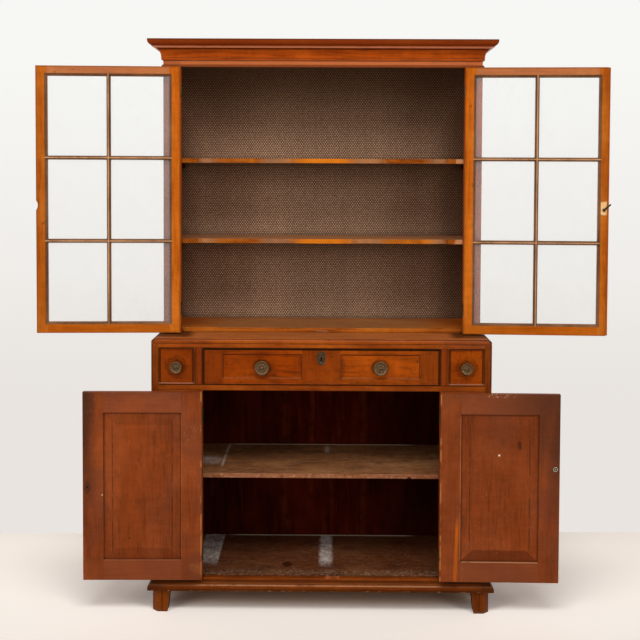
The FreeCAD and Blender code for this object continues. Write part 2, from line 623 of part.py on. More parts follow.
def drawer(name, left, right, knobs, knob_wide):
    """A whole drawer between two planes of its opening. Returns its front before boring."""
    low = f"({DRAWER_LOW} + running_gap)"
    high = f"({DRAWER_HIGH} - drawer_gap)"
    near = f"({left} + drawer_gap)"
    far = f"({right} - drawer_gap)"
    length = f"({BACK_LINE} - drawer_rear_gap)"
    side_high = f"({high} - side_drop)"
    front_low = f"({low} + drawer_gap)"
    slab_front = board(f"{name}_front_slab", near, far, "0", "drawer_front", front_low, high)
    rim = cut(f"{name}_front_rim",
              board(f"{name}_rim_blank", near, far, "-bead_out", "0", front_low, high),
              board(f"{name}_rim_field", f"{near} + bead", f"{far} - bead", "-bead_out - overrun", "overrun",
                    f"{front_low} + bead", f"{high} - bead"))
    front = joined(f"{name}_front_whole", slab_front, rim)
    bottom_low = f"({low} + bottom_rise)"
    bottom_high = f"({low} + bottom_rise + drawer_bottom)"
    bottom = board(f"{name}_bottom_board", f"{near} + drawer_side - groove", f"{far} - drawer_side + groove",
                   "drawer_front - groove", length, bottom_low, bottom_high)
    shoulder = f"({length} - drawer_side)"
    front_tails = []
    back_tails = []
    sides = []
    for end, (outer, inner) in {"left": (near, f"{near} + drawer_side"),
                                "right": (f"{far} - drawer_side", far)}.items():
        own = f"{name}_{end}"
        plank = board(f"{own}_plank", outer, inner, "drawer_front", shoulder, low, side_high)
        heel = board(f"{own}_heel", outer, inner, shoulder, length, low, bottom_high)
        fore = []
        rear = []
        for index in range(TAIL_COUNT):
            middle = f"({bottom_high} + ({side_high} - {bottom_high}) * {(index + 0.5) / TAIL_COUNT})"
            fore.append(dovetail(f"{own}_front_tail_{index}", outer, inner, "drawer_front - tail_long",
                                 "drawer_front", middle, False))
            rear.append(dovetail(f"{own}_back_tail_{index}", outer, inner, shoulder, length, middle, True))
        whole = joined(f"{own}_dovetailed", plank, heel, *fore, *rear)
        sides.append(cut(f"{own}_side", whole, bottom))
        front_tails += fore
        back_tails += rear
    back_board = board(f"{name}_back_board", near, far, shoulder, length, bottom_high, side_high)
    back = cut(f"{name}_back", back_board, *back_tails)
    bores = [
        rod(f"{name}_knob_bore_{index}", "knob_stem / 2", "drawer_front + 2 * overrun", spot, "-overrun",
            KNOB_LEVEL, TO_BACK)
        for index, spot in enumerate(knobs)
    ]
    pulls = []
    for index, spot in enumerate(knobs):
        pull = knob(f"{name}_pull_{index}", knob_wide, "knob_out", "drawer_front")
        pulls.append(place(pull, spot, "0", KNOB_LEVEL))
    group(f"{name}_knobs", *pulls)
    return front, [*front_tails, bottom, *bores], sides, back, bottom


TAIL_COUNT = 3
DRAWER_MIDDLE = f"({DRAWER_LOW} + drawer_opening / 2)"
KNOB_LEVEL = f"({DRAWER_MIDDLE} - knob_offset)"
SMALL_LEFT = f"(-{STILE_EDGE})"
SMALL_RIGHT = f"(-{LOWER_HALF} - divider)"
for name, (left, right) in {"left_drawer": (SMALL_LEFT, SMALL_RIGHT),
                            "right_drawer": (f"({LOWER_HALF} + divider)", STILE_EDGE)}.items():
    middle = f"(({left} + {right}) / 2)"
    front, tools, sides, back, bottom = drawer(name, left, right, [middle], "knob_small_wide")
    cut(f"{name}_front", front, *tools)
    group(f"{name}_box", *sides, back, bottom)

SUNK_MIDDLE = f"((sunk_inner + {LOWER_HALF} - sunk_outer) / 2)"
SUNK_WIDTH = f"({LOWER_HALF} - sunk_outer - sunk_inner)"
SUNK_HEIGHT = "(drawer_opening - 2 * sunk_margin)"
front, tools, sides, back, bottom = drawer("middle_drawer", f"(-{LOWER_HALF})", LOWER_HALF,
                                           [f"-{SUNK_MIDDLE}", SUNK_MIDDLE], "knob_wide")


def sunk_field(name, middle):
    """A shallow tray with sloping edges, to be cut into the middle drawer's front."""
    tray = doc.addObject("Part::Wedge", name)
    edge = {"Xmin": f"-{SUNK_WIDTH} / 2", "Xmax": f"{SUNK_WIDTH} / 2", "Zmin": f"-{SUNK_HEIGHT} / 2",
            "Zmax": f"{SUNK_HEIGHT} / 2"}
    for path, formula in edge.items():
        inward = "+" if "min" in path else "-"
        bind(tray, path, formula)
        bind(tray, path.replace("m", "2m"), f"{formula} {inward} sunk_bevel")
    bind(tray, "Ymin", "0")
    bind(tray, "Ymax", "sunk_deep")
    return place(tray, middle, "0", DRAWER_MIDDLE)


PLATE_LEVEL = f"({DRAWER_MIDDLE} + plate_up)"
LOCK_FRONT = "(drawer_front - lock_thick)"
lock_bed = board("lock_bed", "-lock_wide / 2", "lock_wide / 2", LOCK_FRONT, "drawer_front",
                 f"{PLATE_LEVEL} - lock_high / 2", f"{PLATE_LEVEL} + lock_high / 2")


def keyhole(name):
    """A round hole with a slot below it."""
    eye = rod(f"{name}_round", "keyhole", "drawer_front + 2 * overrun", "0", "-overrun", PLATE_LEVEL, TO_BACK)
    slot = board(f"{name}_slot", "-keyhole_slot_wide / 2", "keyhole_slot_wide / 2", "-overrun",
                 "drawer_front + overrun", f"{PLATE_LEVEL} - keyhole_slot", PLATE_LEVEL)
    return joined(name, eye, slot)


cut("middle_drawer_front", front, *tools, sunk_field("sunk_left", f"-{SUNK_MIDDLE}"),
    sunk_field("sunk_right", SUNK_MIDDLE), lock_bed, keyhole("front_keyhole"))
group("middle_drawer_box", *sides, back)
group("middle_drawer_bottom", bottom)
cut("drawer_lock", board("lock_case", "-lock_wide / 2", "lock_wide / 2", LOCK_FRONT, "drawer_front",
                         f"{PLATE_LEVEL} - lock_high / 2", f"{PLATE_LEVEL} + lock_high / 2"),
    keyhole("lock_keyhole"))
plate_oval = doc.addObject("Part::Ellipse", "plate_oval")
bind(plate_oval, "MajorRadius", "plate_high / 2")
bind(plate_oval, "MinorRadius", "plate_wide / 2")
plate_oval.Placement.Rotation = FreeCAD.Rotation(
    UPRIGHT, FreeCAD.Vector(-1, 0, 0), FreeCAD.Vector(0, -1, 0), "ZXY")
place(plate_oval, "0", "-plate_thick", PLATE_LEVEL)
cut("keyhole_plate", extruded("plate_blank", plate_oval, "plate_thick"), keyhole("plate_keyhole"))


# Lower doors: tenoned frames round a panel that is bevelled on its inner face
def lower_door(side):
    """One lower door, made closed on the left side. Returns its stiles, rails and panel."""
    near = f"(-{LOWER_HALF} + door_gap)"
    far = "(-door_gap / 2)"
    low = LOWER_DOOR_LOW
    high = LOWER_DOOR_HIGH
    sight_near = f"({near} + lower_stile)"
    sight_far = f"({far} - lower_stile)"
    sight_low = f"({low} + lower_stile)"
    sight_high = f"({high} - lower_stile)"
    tongue_front = "panel_recess"
    tongue_back = "(panel_recess + panel_tongue)"
    trench = board(f"{side}_panel_trench", f"{sight_near} - panel_groove", f"{sight_far} + panel_groove",
                   tongue_front, tongue_back, f"{sight_low} - panel_groove", f"{sight_high} + panel_groove")
    rails = []
    tenons = []
    for end, (edge, inner, tenon_low, tenon_high) in {
        "foot": (low, sight_low, f"{low} + tenon_inset", f"{sight_low} - panel_groove"),
        "head": (high, sight_high, f"{sight_high} + panel_groove", f"{high} - tenon_inset"),
    }.items():
        bottom_edge, top_edge = (edge, inner) if end == "foot" else (inner, edge)
        body = board(f"{side}_{end}_body", sight_near, sight_far, "0", "door_thick", bottom_edge, top_edge)
        tenon = board(f"{side}_{end}_tenon", f"{sight_near} - tenon_long", f"{sight_far} + tenon_long",
                      tongue_front, tongue_back, tenon_low, tenon_high)
        tenons.append(tenon)
        rails.append(cut(f"{side}_{end}_rail", joined(f"{side}_{end}_whole", body, tenon), trench))
    stiles = []
    for end, (outer, inner) in {"hinge": (near, sight_near), "free": (sight_far, far)}.items():
        plank = board(f"{side}_{end}_plank", outer, inner, "0", "door_thick", low, high)
        tools = [trench, *tenons]
        if end == "hinge":
            tools += leaf_beds(f"{side}_door_bed", LOWER_PIN, "0", low, high, True)
        stiles.append((plank, tools))
    panel = fielded_panel(f"{side}_panel", sight_near, sight_far, sight_low, sight_high)
    return stiles, rails, panel, far


def fielded_panel(name, near, far, low, high):
    """A panel that lies in the door's groove, bevelled all round its inner face."""
    slide = "(panel_groove - panel_play)"
    flat = board(f"{name}_flat", f"{near} - {slide}", f"{far} + {slide}", "panel_recess",
                 "panel_recess + panel_tongue", f"{low} - {slide}", f"{high} + {slide}")
    field = doc.addObject("Part::Wedge", f"{name}_field")
    span = {"Xmin": near, "Xmax": far, "Zmin": low, "Zmax": high}
    for path, formula in span.items():
        inward = "+" if "min" in path else "-"
        bind(field, path, formula)
        bind(field, path.replace("m", "2m"), f"{formula} {inward} field_bevel")
    bind(field, "Ymin", "panel_recess + panel_tongue")
    bind(field, "Ymax", "panel_recess + panel_tongue + field_rise")
    return joined(f"{name}_whole", flat, field)


def spindle_hole(name, radius, across, level):
    return rod(name, radius, "door_thick + 2 * overrun", across, "-overrun", level, TO_BACK)


LOWER_LEFT = (LOWER_PIN, f"-{PIN_PROUD}", "-lower_open_angle")
CATCH_LEVEL = f"({RAIL_TOP} + lower_opening * catch_share)"
PEG_LEVEL = f"({RAIL_TOP} + lower_opening * peg_hole_share)"
stiles, rails, panel, free_edge = lower_door("lower_left")
CATCH_ACROSS = f"({free_edge} - catch_inset)"
(hinge_plank, hinge_tools), (free_plank, free_tools) = stiles
hinge_stile = cut("lower_left_hinge_stile", hinge_plank, *hinge_tools)
pegged = cut("lower_left_free_stile", free_plank, *free_tools,
             spindle_hole("peg_bore", "peg_hole", CATCH_ACROSS, PEG_LEVEL))
knobbed = cut("lower_right_free_stile", free_plank, *free_tools,
              spindle_hole("catch_bore", "knob_stem / 2", CATCH_ACROSS, CATCH_LEVEL))
frame = hang(group("lower_left_door_frame", hinge_stile, pegged, *rails), *LOWER_LEFT)
leaf_panel = hang(group("lower_left_door_panel", panel), *LOWER_LEFT)
frame_right = hang(group("lower_right_frame_source", hinge_stile, knobbed, *rails), *LOWER_LEFT)
mirrored("lower_right_door_frame", frame_right)
mirrored("lower_right_door_panel", leaf_panel)

# Knob of the right lower door, held by a ring nut on the inner face
pull = place(knob("lower_pull", "pull_wide", "pull_out", "door_thick"), CATCH_ACROSS, "0", CATCH_LEVEL)
ring = cut("ring_nut",
           rod("ring_blank", "ring_wide / 2", "ring_thick", CATCH_ACROSS, "door_thick", CATCH_LEVEL, TO_BACK),
           rod("ring_eye", "ring_hole", "ring_thick + overrun", CATCH_ACROSS, "door_thick + ring_thick / 3",
               CATCH_LEVEL, TO_BACK))
catch = hang(group("lower_right_knob_source", pull, ring), *LOWER_LEFT)
mirrored("lower_right_door_knob", catch)


# Butt hinges: two case knuckles riveted to a pin, and a door knuckle that turns on it between them
def knuckle(name, pin, line, front, near, far, start):
    """One knuckle, a third of the hinge long, and the tab that joins it to its leaf."""
    begin = f"{start} + knuckle_gap / 2"
    length = "leaf_long / 3 - knuckle_gap"
    return [rod(f"{name}_knuckle", "knuckle", length, pin, line, begin),
            board(f"{name}_tab", near, far, line, front, begin, f"{begin} + {length}")]


def hinge_halves(name, pin, front, low, high):
    """The case halves, with their pins, and the door halves of one door's two hinges."""
    line = f"({front} - {PIN_PROUD})"
    case_near, case_far = (f"{pin} - leaf_gap / 2 - leaf_thick", f"{pin} - leaf_gap / 2")
    door_near, door_far = (f"{pin} + leaf_gap / 2", f"{pin} + leaf_gap / 2 + leaf_thick")
    case_halves = []
    door_halves = []
    for index, level in enumerate(hinge_lows(low, high)):
        own = f"{name}_{index}"
        case_leaf = board(f"{own}_case_leaf", case_near, case_far, front, f"{front} + leaf_deep", level,
                          f"{level} + leaf_long")
        door_leaf = board(f"{own}_door_leaf", door_near, door_far, front, f"{front} + leaf_deep", level,
                          f"{level} + leaf_long")
        pin_rod = rod(f"{own}_pin", "pin_radius", "leaf_long - knuckle_gap", pin, line,
                      f"{level} + knuckle_gap / 2")
        low_knuckle = knuckle(f"{own}_low", pin, line, front, case_near, case_far, level)
        high_knuckle = knuckle(f"{own}_high", pin, line, front, case_near, case_far,
                               f"{level} + 2 * leaf_long / 3")
        case_halves.append(joined(f"{own}_case_half", case_leaf, pin_rod, *low_knuckle, *high_knuckle))
        bore = rod(f"{own}_bore", "pin_radius + pin_play", "leaf_long", pin, line, level)
        door_knuckle = knuckle(f"{own}_door", pin, line, front, door_near, door_far,
                               f"{level} + leaf_long / 3")
        whole = joined(f"{own}_door_whole", door_leaf, *door_knuckle)
        door_halves.append(cut(f"{own}_door_half", whole, bore))
    return case_halves, door_halves


fixed_halves = []
for name, (pin, front, low, high, swing) in {
    "lower": (LOWER_PIN, "0", LOWER_DOOR_LOW, LOWER_DOOR_HIGH, "-lower_open_angle"),
    "upper": (UPPER_PIN, "setback", UPPER_DOOR_LOW, UPPER_DOOR_HIGH, "-upper_open_angle"),
}.items():
    case_halves, door_halves = hinge_halves(f"{name}_hinge", pin, front, low, high)
    fixed_halves += case_halves
    leaves = hang(group(f"{name}_left_door_leaves", *door_halves), pin, f"{front} - {PIN_PROUD}", swing)
    mirrored(f"{name}_right_door_leaves", leaves)
group("case_hinges", *fixed_halves, *[mirrored(f"{piece.Name}_right", piece) for piece in fixed_halves])

# Upper case: sides, floor, top, back and front frame
board("upper_side_left", f"-{UPPER_SIDE}", f"-{UPPER_INNER}", UPPER_BACK, "case_depth", LEDGE, UPPER_TOP)
mirrored("upper_side_right", doc.upper_side_left)
group("upper_sides", doc.upper_side_left, doc.upper_side_right)
board("upper_floor_board", f"-{UPPER_INNER}", UPPER_INNER, f"{UPPER_BACK} + floor_gap", BACK_LINE, LEDGE,
      f"{LEDGE} + upper_floor")
board("upper_top_board", f"-{UPPER_INNER}", UPPER_INNER, UPPER_BACK, BACK_LINE,
      f"{UPPER_TOP} - board_thick", UPPER_TOP)
count = int(number("upper_back_count"))
upper_seams = [
    f"-{UPPER_INNER} + 2 * {UPPER_INNER} * {index} / upper_back_count"
    for index in range(count + 1)
]
group("upper_back_boards", *back_boards("upper_back", upper_seams, LEDGE, UPPER_TOP))
board("back_lining", f"-{UPPER_INNER}", UPPER_INNER, f"{BACK_LINE} - lining", BACK_LINE,
      f"{LEDGE} + upper_floor", f"{UPPER_TOP} - board_thick")
stile = board("upper_stile_blank", f"-{UPPER_SIDE}", f"-{UPPER_HALF}", "setback", UPPER_BACK,
              LEDGE, UPPER_TOP)
stile = cut("upper_stile_left", stile,
            *leaf_beds("upper_bed", UPPER_PIN, "setback", UPPER_DOOR_LOW, UPPER_DOOR_HIGH, False))
group("upper_stiles", stile, mirrored("upper_stile_right", stile))
board("frieze_rail", f"-{UPPER_HALF}", UPPER_HALF, "setback", UPPER_BACK, UPPER_HEAD, UPPER_TOP)

# Neck moulding and cornice, mitred round the front and sides
group("neck_moulding", *moulding(
    "neck_strip",
    [("0", "0"), ("neck_out", "0"), ("neck_out", "neck_high * 0.6", "neck_out"), ("0", "neck_high")],
    UPPER_SIDE, "setback", "case_depth", UPPER_HEAD, "neck_out"))
group("cornice", *moulding(
    "cornice_strip",
    [("0", "0"), ("cornice_bead_out", "0", "cornice_bead_round"), ("cornice_bead_out", "cornice_bead"),
     ("cove_foot_out", "cornice_bead"), ("cove_foot_out", "cove_foot", "-cove_round"),
     ("cove_head_out", "cove_head"), ("crown_foot_out", "cove_head"),
     ("crown_foot_out", "crown_foot", "crown_round"), ("cornice_out", "crown_head"),
     ("cornice_out", "cornice_high"), ("0", "cornice_high")],
    UPPER_SIDE, "setback", "case_depth", f"({UPPER_TOP} - cornice_lap)", "cornice_out"))


# Shelves behind the glass, their fronts cut to a row of shallow bows between cusps
def bow(half_chord, rise):
    """The radius of a shallow arc over a chord."""
    return f"((({half_chord}) ^ 2 + ({rise}) ^ 2) / (2 * ({rise})))"


def glazed_shelf(name, level):
    front = f"({UPPER_BACK} + shelf_front_gap)"
    cusp = f"({front} + shelf_cusp_deep)"
    tab = f"({UPPER_INNER} - shelf_tab)"
    outer = f"({tab} - shelf_slope)"
    inner = f"({outer} * shelf_lobe_share)"
    side_bow = bow(f"({outer} - {inner}) / 2", "shelf_bow")
    middle_bow = bow(inner, "shelf_bow")
    plan = outline(None, f"{name}_plan", [
        (f"-{UPPER_INNER}", front), (f"-{tab}", front),
        (f"-{outer}", cusp, side_bow), (f"-{inner}", cusp, middle_bow),
        (inner, cusp, side_bow), (outer, cusp),
        (tab, front), (UPPER_INNER, front),
        (UPPER_INNER, f"{BACK_LINE} - lining"), (f"-{UPPER_INNER}", f"{BACK_LINE} - lining")])
    place(plan, up=f"{level} - shelf_thick")
    extruded(name, plan, "shelf_thick")


for index, level in enumerate(GLAZED_SHELVES, start=1):
    glazed_shelf(f"upper_shelf_{index}", level)


# Glazed doors: rebated frames, glazing bars, panes and putty, lapped where they meet
GLASS_LINE = "(setback + door_thick - rebate_deep)"
INNER_FACE = "(setback + door_thick)"
ROWS = 3
COLUMNS = 2


def glazed_door(side, lap_inside):
    """One glazed door, made closed on the left side."""
    near = f"(-{UPPER_HALF} + door_gap)"
    far = "(meeting_lap / 2)"
    low = UPPER_DOOR_LOW
    high = UPPER_DOOR_HIGH
    sight_near = f"({near} + upper_stile)"
    sight_far = f"({far} - upper_stile)"
    sight_low = f"({low} + upper_door_foot)"
    sight_high = f"({high} - upper_door_rail)"
    wall_near = f"({sight_near} - rebate_wide)"
    wall_far = f"({sight_far} + rebate_wide)"
    wall_low = f"({sight_low} - rebate_wide)"
    wall_high = f"({sight_high} + rebate_wide)"
    tenon_front = f"({INNER_FACE} - (door_thick + sash_tenon_thick) / 2)"
    tenon_back = f"({INNER_FACE} - (door_thick - sash_tenon_thick) / 2)"
    rails = []
    tenons = []
    for end, (bottom_edge, top_edge, wall_bottom, wall_top, tenon_low, tenon_high) in {
        "foot": (low, sight_low, low, wall_low, f"{low} + sash_tenon_inset", wall_low),
        "head": (sight_high, high, wall_high, high, wall_high, f"{high} - sash_tenon_inset"),
    }.items():
        fore = board(f"{side}_{end}_fore", sight_near, sight_far, "setback", GLASS_LINE,
                     bottom_edge, top_edge)
        rear = board(f"{side}_{end}_rear", wall_near, wall_far, GLASS_LINE, INNER_FACE, wall_bottom, wall_top)
        tenon = board(f"{side}_{end}_tenon", f"{wall_near} - sash_tenon", f"{wall_far} + sash_tenon",
                      tenon_front, tenon_back, tenon_low, tenon_high)
        tenons.append(tenon)
        rails.append(joined(f"{side}_{end}_rail", fore, rear, tenon))
    stiles = []
    for end, (outer, inner) in {"hinge": (near, sight_near), "free": (sight_far, far)}.items():
        plank = board(f"{side}_{end}_plank", outer, inner, "setback", INNER_FACE, low, high)
        channel = board(f"{side}_{end}_channel", wall_near, wall_far, GLASS_LINE, f"{INNER_FACE} + overrun",
                        f"{low} - overrun", f"{high} + overrun")
        tools = [channel, *tenons]
        if end == "hinge":
            tools += leaf_beds(f"{side}_door_bed", UPPER_PIN, "setback", low, high, True)
        else:
            tools += meeting_cuts(side, far, low, high, lap_inside)
        stiles.append(cut(f"{side}_{end}_stile", plank, *tools))
    bars, panes, putty = glazing(side, (sight_near, sight_far, wall_near, wall_far),
                                 (sight_low, sight_high, wall_low, wall_high))
    return stiles, rails, bars, panes, putty


def meeting_cuts(side, far, low, high, lap_inside):
    """What is cut from a meeting stile: its half of the lap, and wear or a spindle hole."""
    shoulder = f"({far} - meeting_lap - door_gap)"
    lap_middle = "(setback + door_thick / 2)"
    front, back = ("setback - overrun", f"{lap_middle} + leaf_gap")
    if not lap_inside:
        front, back = (f"{lap_middle} - leaf_gap", f"{INNER_FACE} + overrun")
    lap = board(f"{side}_lap", shoulder, f"{far} + overrun", front, back, f"{low} - overrun",
                f"{high} + overrun")
    if lap_inside:
        worn = rod(f"{side}_wear", "wear_long", "door_thick + 2 * overrun", f"{far} + wear_long - wear_deep",
                   "setback - overrun", WEAR_LEVEL, TO_BACK)
        return [lap, worn]
    return [lap, rod(f"{side}_spindle_hole", "latch_stem + latch_play", "door_thick + 2 * overrun",
                     LATCH_ACROSS, "setback - overrun", LATCH_LEVEL, TO_BACK)]


def glazing(side, across, upward):
    """Bars, panes and putty of one door, from its sight lines and the walls of its rebates."""
    sight_near, sight_far, wall_near, wall_far = across
    sight_low, sight_high, wall_low, wall_high = upward
    light_wide = f"(({sight_far} - {sight_near} - bar_wide * {COLUMNS - 1}) / {COLUMNS})"
    light_high = f"(({sight_high} - {sight_low} - bar_wide * {ROWS - 1}) / {ROWS})"
    lights_across = [f"({sight_near} + {column} * ({light_wide} + bar_wide))" for column in range(COLUMNS)]
    lights_up = [f"({sight_low} + {row} * ({light_high} + bar_wide))" for row in range(ROWS)]
    web_in = "(bar_wide - bar_web) / 2"
    upright = f"({lights_across[0]} + {light_wide})"
    bars = [joined(
        f"{side}_bar_upright",
        board(f"{side}_bar_face", upright, f"{upright} + bar_wide", "setback", GLASS_LINE,
              sight_low, sight_high),
        board(f"{side}_bar_web", f"{upright} + {web_in}", f"{upright} + {web_in} + bar_web", GLASS_LINE,
              INNER_FACE, wall_low, wall_high))]
    panes = []
    putty = []
    for column, start in enumerate(lights_across):
        left_wall = wall_near if column == 0 else f"({start} - {web_in})"
        right_wall = wall_far if column == COLUMNS - 1 else f"({start} + {light_wide} + {web_in})"
        for row, level in enumerate(lights_up):
            low_wall = wall_low if row == 0 else f"({level} - {web_in})"
            high_wall = wall_high if row == ROWS - 1 else f"({level} + {light_high} + {web_in})"
            name = f"{side}_{column}_{row}"
            panes.append(board(f"{name}_pane", f"{left_wall} + glass_play", f"{right_wall} - glass_play",
                               GLASS_LINE, f"{GLASS_LINE} + glass_thick", f"{low_wall} + glass_play",
                               f"{high_wall} - glass_play"))
            putty.append(putty_frame(name, left_wall, right_wall, low_wall, high_wall,
                                     (start, f"{start} + {light_wide}", level, f"{level} + {light_high}")))
            if row > 0:
                bar_low = f"({level} - bar_wide)"
                bars.append(joined(
                    f"{name}_bar",
                    board(f"{name}_bar_face", start, f"{start} + {light_wide}", "setback", GLASS_LINE,
                          bar_low, level),
                    board(f"{name}_bar_web", left_wall, right_wall, GLASS_LINE, INNER_FACE,
                          f"{bar_low} + {web_in}", f"{bar_low} + {web_in} + bar_web")))
    return bars, panes, putty


def putty_frame(name, left, right, low, high, sight):
    """A sloping fillet of putty round one pane, from the glass to just short of the inner face."""
    start = f"({GLASS_LINE} + glass_thick)"
    end = f"({INNER_FACE} - putty_edge)"
    block = board(f"{name}_putty_block", left, right, start, end, low, high)
    hollow = doc.addObject("Part::Wedge", f"{name}_putty_hollow")
    for path, inner, outer in (("Xmin", sight[0], left), ("Xmax", sight[1], right),
                               ("Zmin", sight[2], low), ("Zmax", sight[3], high)):
        bind(hollow, path, inner)
        bind(hollow, path.replace("m", "2m"), outer)
    bind(hollow, "Ymin", start)
    bind(hollow, "Ymax", end)
    return cut(f"{name}_putty", block, hollow)


LATCH_ACROSS = "(meeting_lap / 2 - latch_inset)"
LATCH_LEVEL = f"({LEDGE} + (upper_height - frieze) * latch_share)"
WEAR_LEVEL = f"({LEDGE} + (upper_height - frieze) * wear_share)"
UPPER_LEFT = (UPPER_PIN, f"setback - {PIN_PROUD}", "-upper_open_angle")
for side, lap_inside in (("upper_left", True), ("upper_right", False)):
    stiles, rails, bars, panes, putty = glazed_door(side, lap_inside)
    for part, pieces in {"frame": [*stiles, *rails], "bars": bars, "panes": panes, "putty": putty}.items():
        if lap_inside:
            hang(group(f"{side}_door_{part}", *pieces), *UPPER_LEFT)
        else:
            source = hang(group(f"{side}_{part}_source", *pieces), *UPPER_LEFT)
            mirrored(f"{side}_door_{part}", source)

# Turn latch of the right glazed door: outer knob, spindle and inner lever in one
lever_plan = outline(None, "lever_plan", [
    ("0", "-latch_wide / 2"), ("latch_long", "-latch_tip / 2"), ("latch_long", "latch_tip / 2"),
    ("0", "latch_wide / 2", "latch_wide / 2 + leaf_gap")])
lever_plan.Placement = FreeCAD.Placement(FreeCAD.Vector(), FreeCAD.Rotation(FreeCAD.Vector(1, 0, 0), 90))
lever_flat = extruded("lever_flat", lever_plan, "latch_thick")
lever = group("lever_turned", lever_flat)
lever.Placement = FreeCAD.Placement(FreeCAD.Vector(), FreeCAD.Rotation(FreeCAD.Vector(0, -1, 0), 1))
bind(lever, "Placement.Rotation.Angle", "latch_turn_angle")
place(lever, LATCH_ACROSS, f"{INNER_FACE} + latch_gap + latch_thick", LATCH_LEVEL)
spindle = rod("latch_spindle", "latch_stem", "door_thick + latch_gap + latch_thick", LATCH_ACROSS, "setback",
              LATCH_LEVEL, TO_BACK)
latch_head = knob("latch_head", "latch_knob_wide", "pull_out", "latch_gap + overrun")
place(latch_head, LATCH_ACROSS, "setback - latch_gap", LATCH_LEVEL)
latch = hang(joined("latch_source", lever, spindle, latch_head), *UPPER_LEFT)
mirrored("upper_right_door_latch", latch)

NODES = [
    "lower_sides", "lower_floor", "lower_back_boards", "corner_stiles", "door_stiles", "front_rails",
    "drawer_dividers", "drawer_partitions", "drawer_runners", "drawer_kickers", "lower_shelf", "shelf_cleats",
    "lower_top", "base_moulding", "feet", "upper_sides", "upper_floor_board", "upper_top_board",
    "upper_back_boards", "back_lining", "upper_stiles", "frieze_rail", "neck_moulding", "cornice",
    "upper_shelf_1", "upper_shelf_2", "case_hinges",
    "left_drawer_front", "left_drawer_box", "left_drawer_knobs",
    "right_drawer_front", "right_drawer_box", "right_drawer_knobs",
    "middle_drawer_front", "middle_drawer_box", "middle_drawer_bottom", "middle_drawer_knobs",
    "keyhole_plate", "drawer_lock",
    "lower_left_door_frame", "lower_left_door_panel", "lower_left_door_leaves",
    "lower_right_door_frame", "lower_right_door_panel", "lower_right_door_leaves", "lower_right_door_knob",
]
for side in ("upper_left", "upper_right"):
    NODES += [f"{side}_door_{part}" for part in ("frame", "bars", "panes", "putty", "leaves")]
NODES.append("upper_right_door_latch")

# Move everything so that the origin is under the middle of the whole
doc.recompute()
whole = FreeCAD.BoundBox()
for node in NODES:
    whole.add(doc.getObject(node).Shape.BoundBox)
sizes.set("A%d" % (len(SIZES) + 1), "front_line")
sizes.set("B%d" % (len(SIZES) + 1), str(round(-whole.Center.y, 2)))
sizes.set("C%d" % (len(SIZES) + 1), "front of the lower case, from the middle of the whole")
sizes.setAlias("B%d" % (len(SIZES) + 1), "front_line")
ALIASES.add("front_line")
placed = []
for node in NODES:
    made = doc.getObject(node)
    made.Label = node + "_as_made"
    sub_part = group(node + "_placed", made)
    sub_part.Label = node
    placed.append(place(sub_part, along="front_line"))

doc.recompute()
faults = [piece.Name for piece in doc.Objects if "Invalid" in piece.State or "Error" in piece.State]
if faults:
    raise SystemExit("failed objects: " + ", ".join(faults))
os.makedirs("parts", exist_ok=True)
for sub_part in placed:
    shape = sub_part.Shape
    if shape.isNull() or not shape.isValid() or not shape.Solids:
        raise SystemExit("bad shape: " + sub_part.Label)
    shape.exportStep(f"parts/{sub_part.Label}.step")
    box = shape.BoundBox
    print(sub_part.Label, len(shape.Solids), "solids", [round(value, 1) for value in (
        box.XMin, box.YMin, box.ZMin, box.XMax, box.YMax, box.ZMax)])
print(len(placed), "nodes; front line", sizes.front_line)
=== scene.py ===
import bpy
import math
from collections import namedtuple
from mathutils import Matrix, Vector


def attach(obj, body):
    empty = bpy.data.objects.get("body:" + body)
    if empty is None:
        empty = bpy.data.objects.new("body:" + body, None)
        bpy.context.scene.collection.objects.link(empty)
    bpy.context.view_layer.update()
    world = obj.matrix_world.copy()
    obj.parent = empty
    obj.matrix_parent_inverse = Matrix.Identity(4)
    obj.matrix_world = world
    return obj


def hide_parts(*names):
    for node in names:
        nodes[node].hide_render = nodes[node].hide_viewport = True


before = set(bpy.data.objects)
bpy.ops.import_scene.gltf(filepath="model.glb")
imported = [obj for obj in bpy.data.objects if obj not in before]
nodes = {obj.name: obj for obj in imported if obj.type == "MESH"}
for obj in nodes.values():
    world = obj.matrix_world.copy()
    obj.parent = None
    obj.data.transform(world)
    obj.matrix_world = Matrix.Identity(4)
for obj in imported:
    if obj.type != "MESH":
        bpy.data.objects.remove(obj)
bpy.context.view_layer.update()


# Lower case: sides, stiles, rails, top, base moulding and feet of an old red-brown
# hardwood, tenoned and glued, under an amber varnish. Every corner and gap is darkened by
# painted shade, and the arrises that hands and dusters reach are rubbed paler and carry painted highlights.
def give(node, name, given):
    """Link a value to one of a node's sockets, or set the socket to a plain number or colour."""
    if isinstance(given, Value):
        given.tree.links.new(given.socket, node.inputs[name])
    else:
        node.inputs[name].default_value = given


def sign(operation, swapped=False):
    """A method that does one kind of sum with a value and another value or number."""
    def method(self, other):
        return self.maths(operation, other, self) if swapped else self.maths(operation, self, other)
    return method


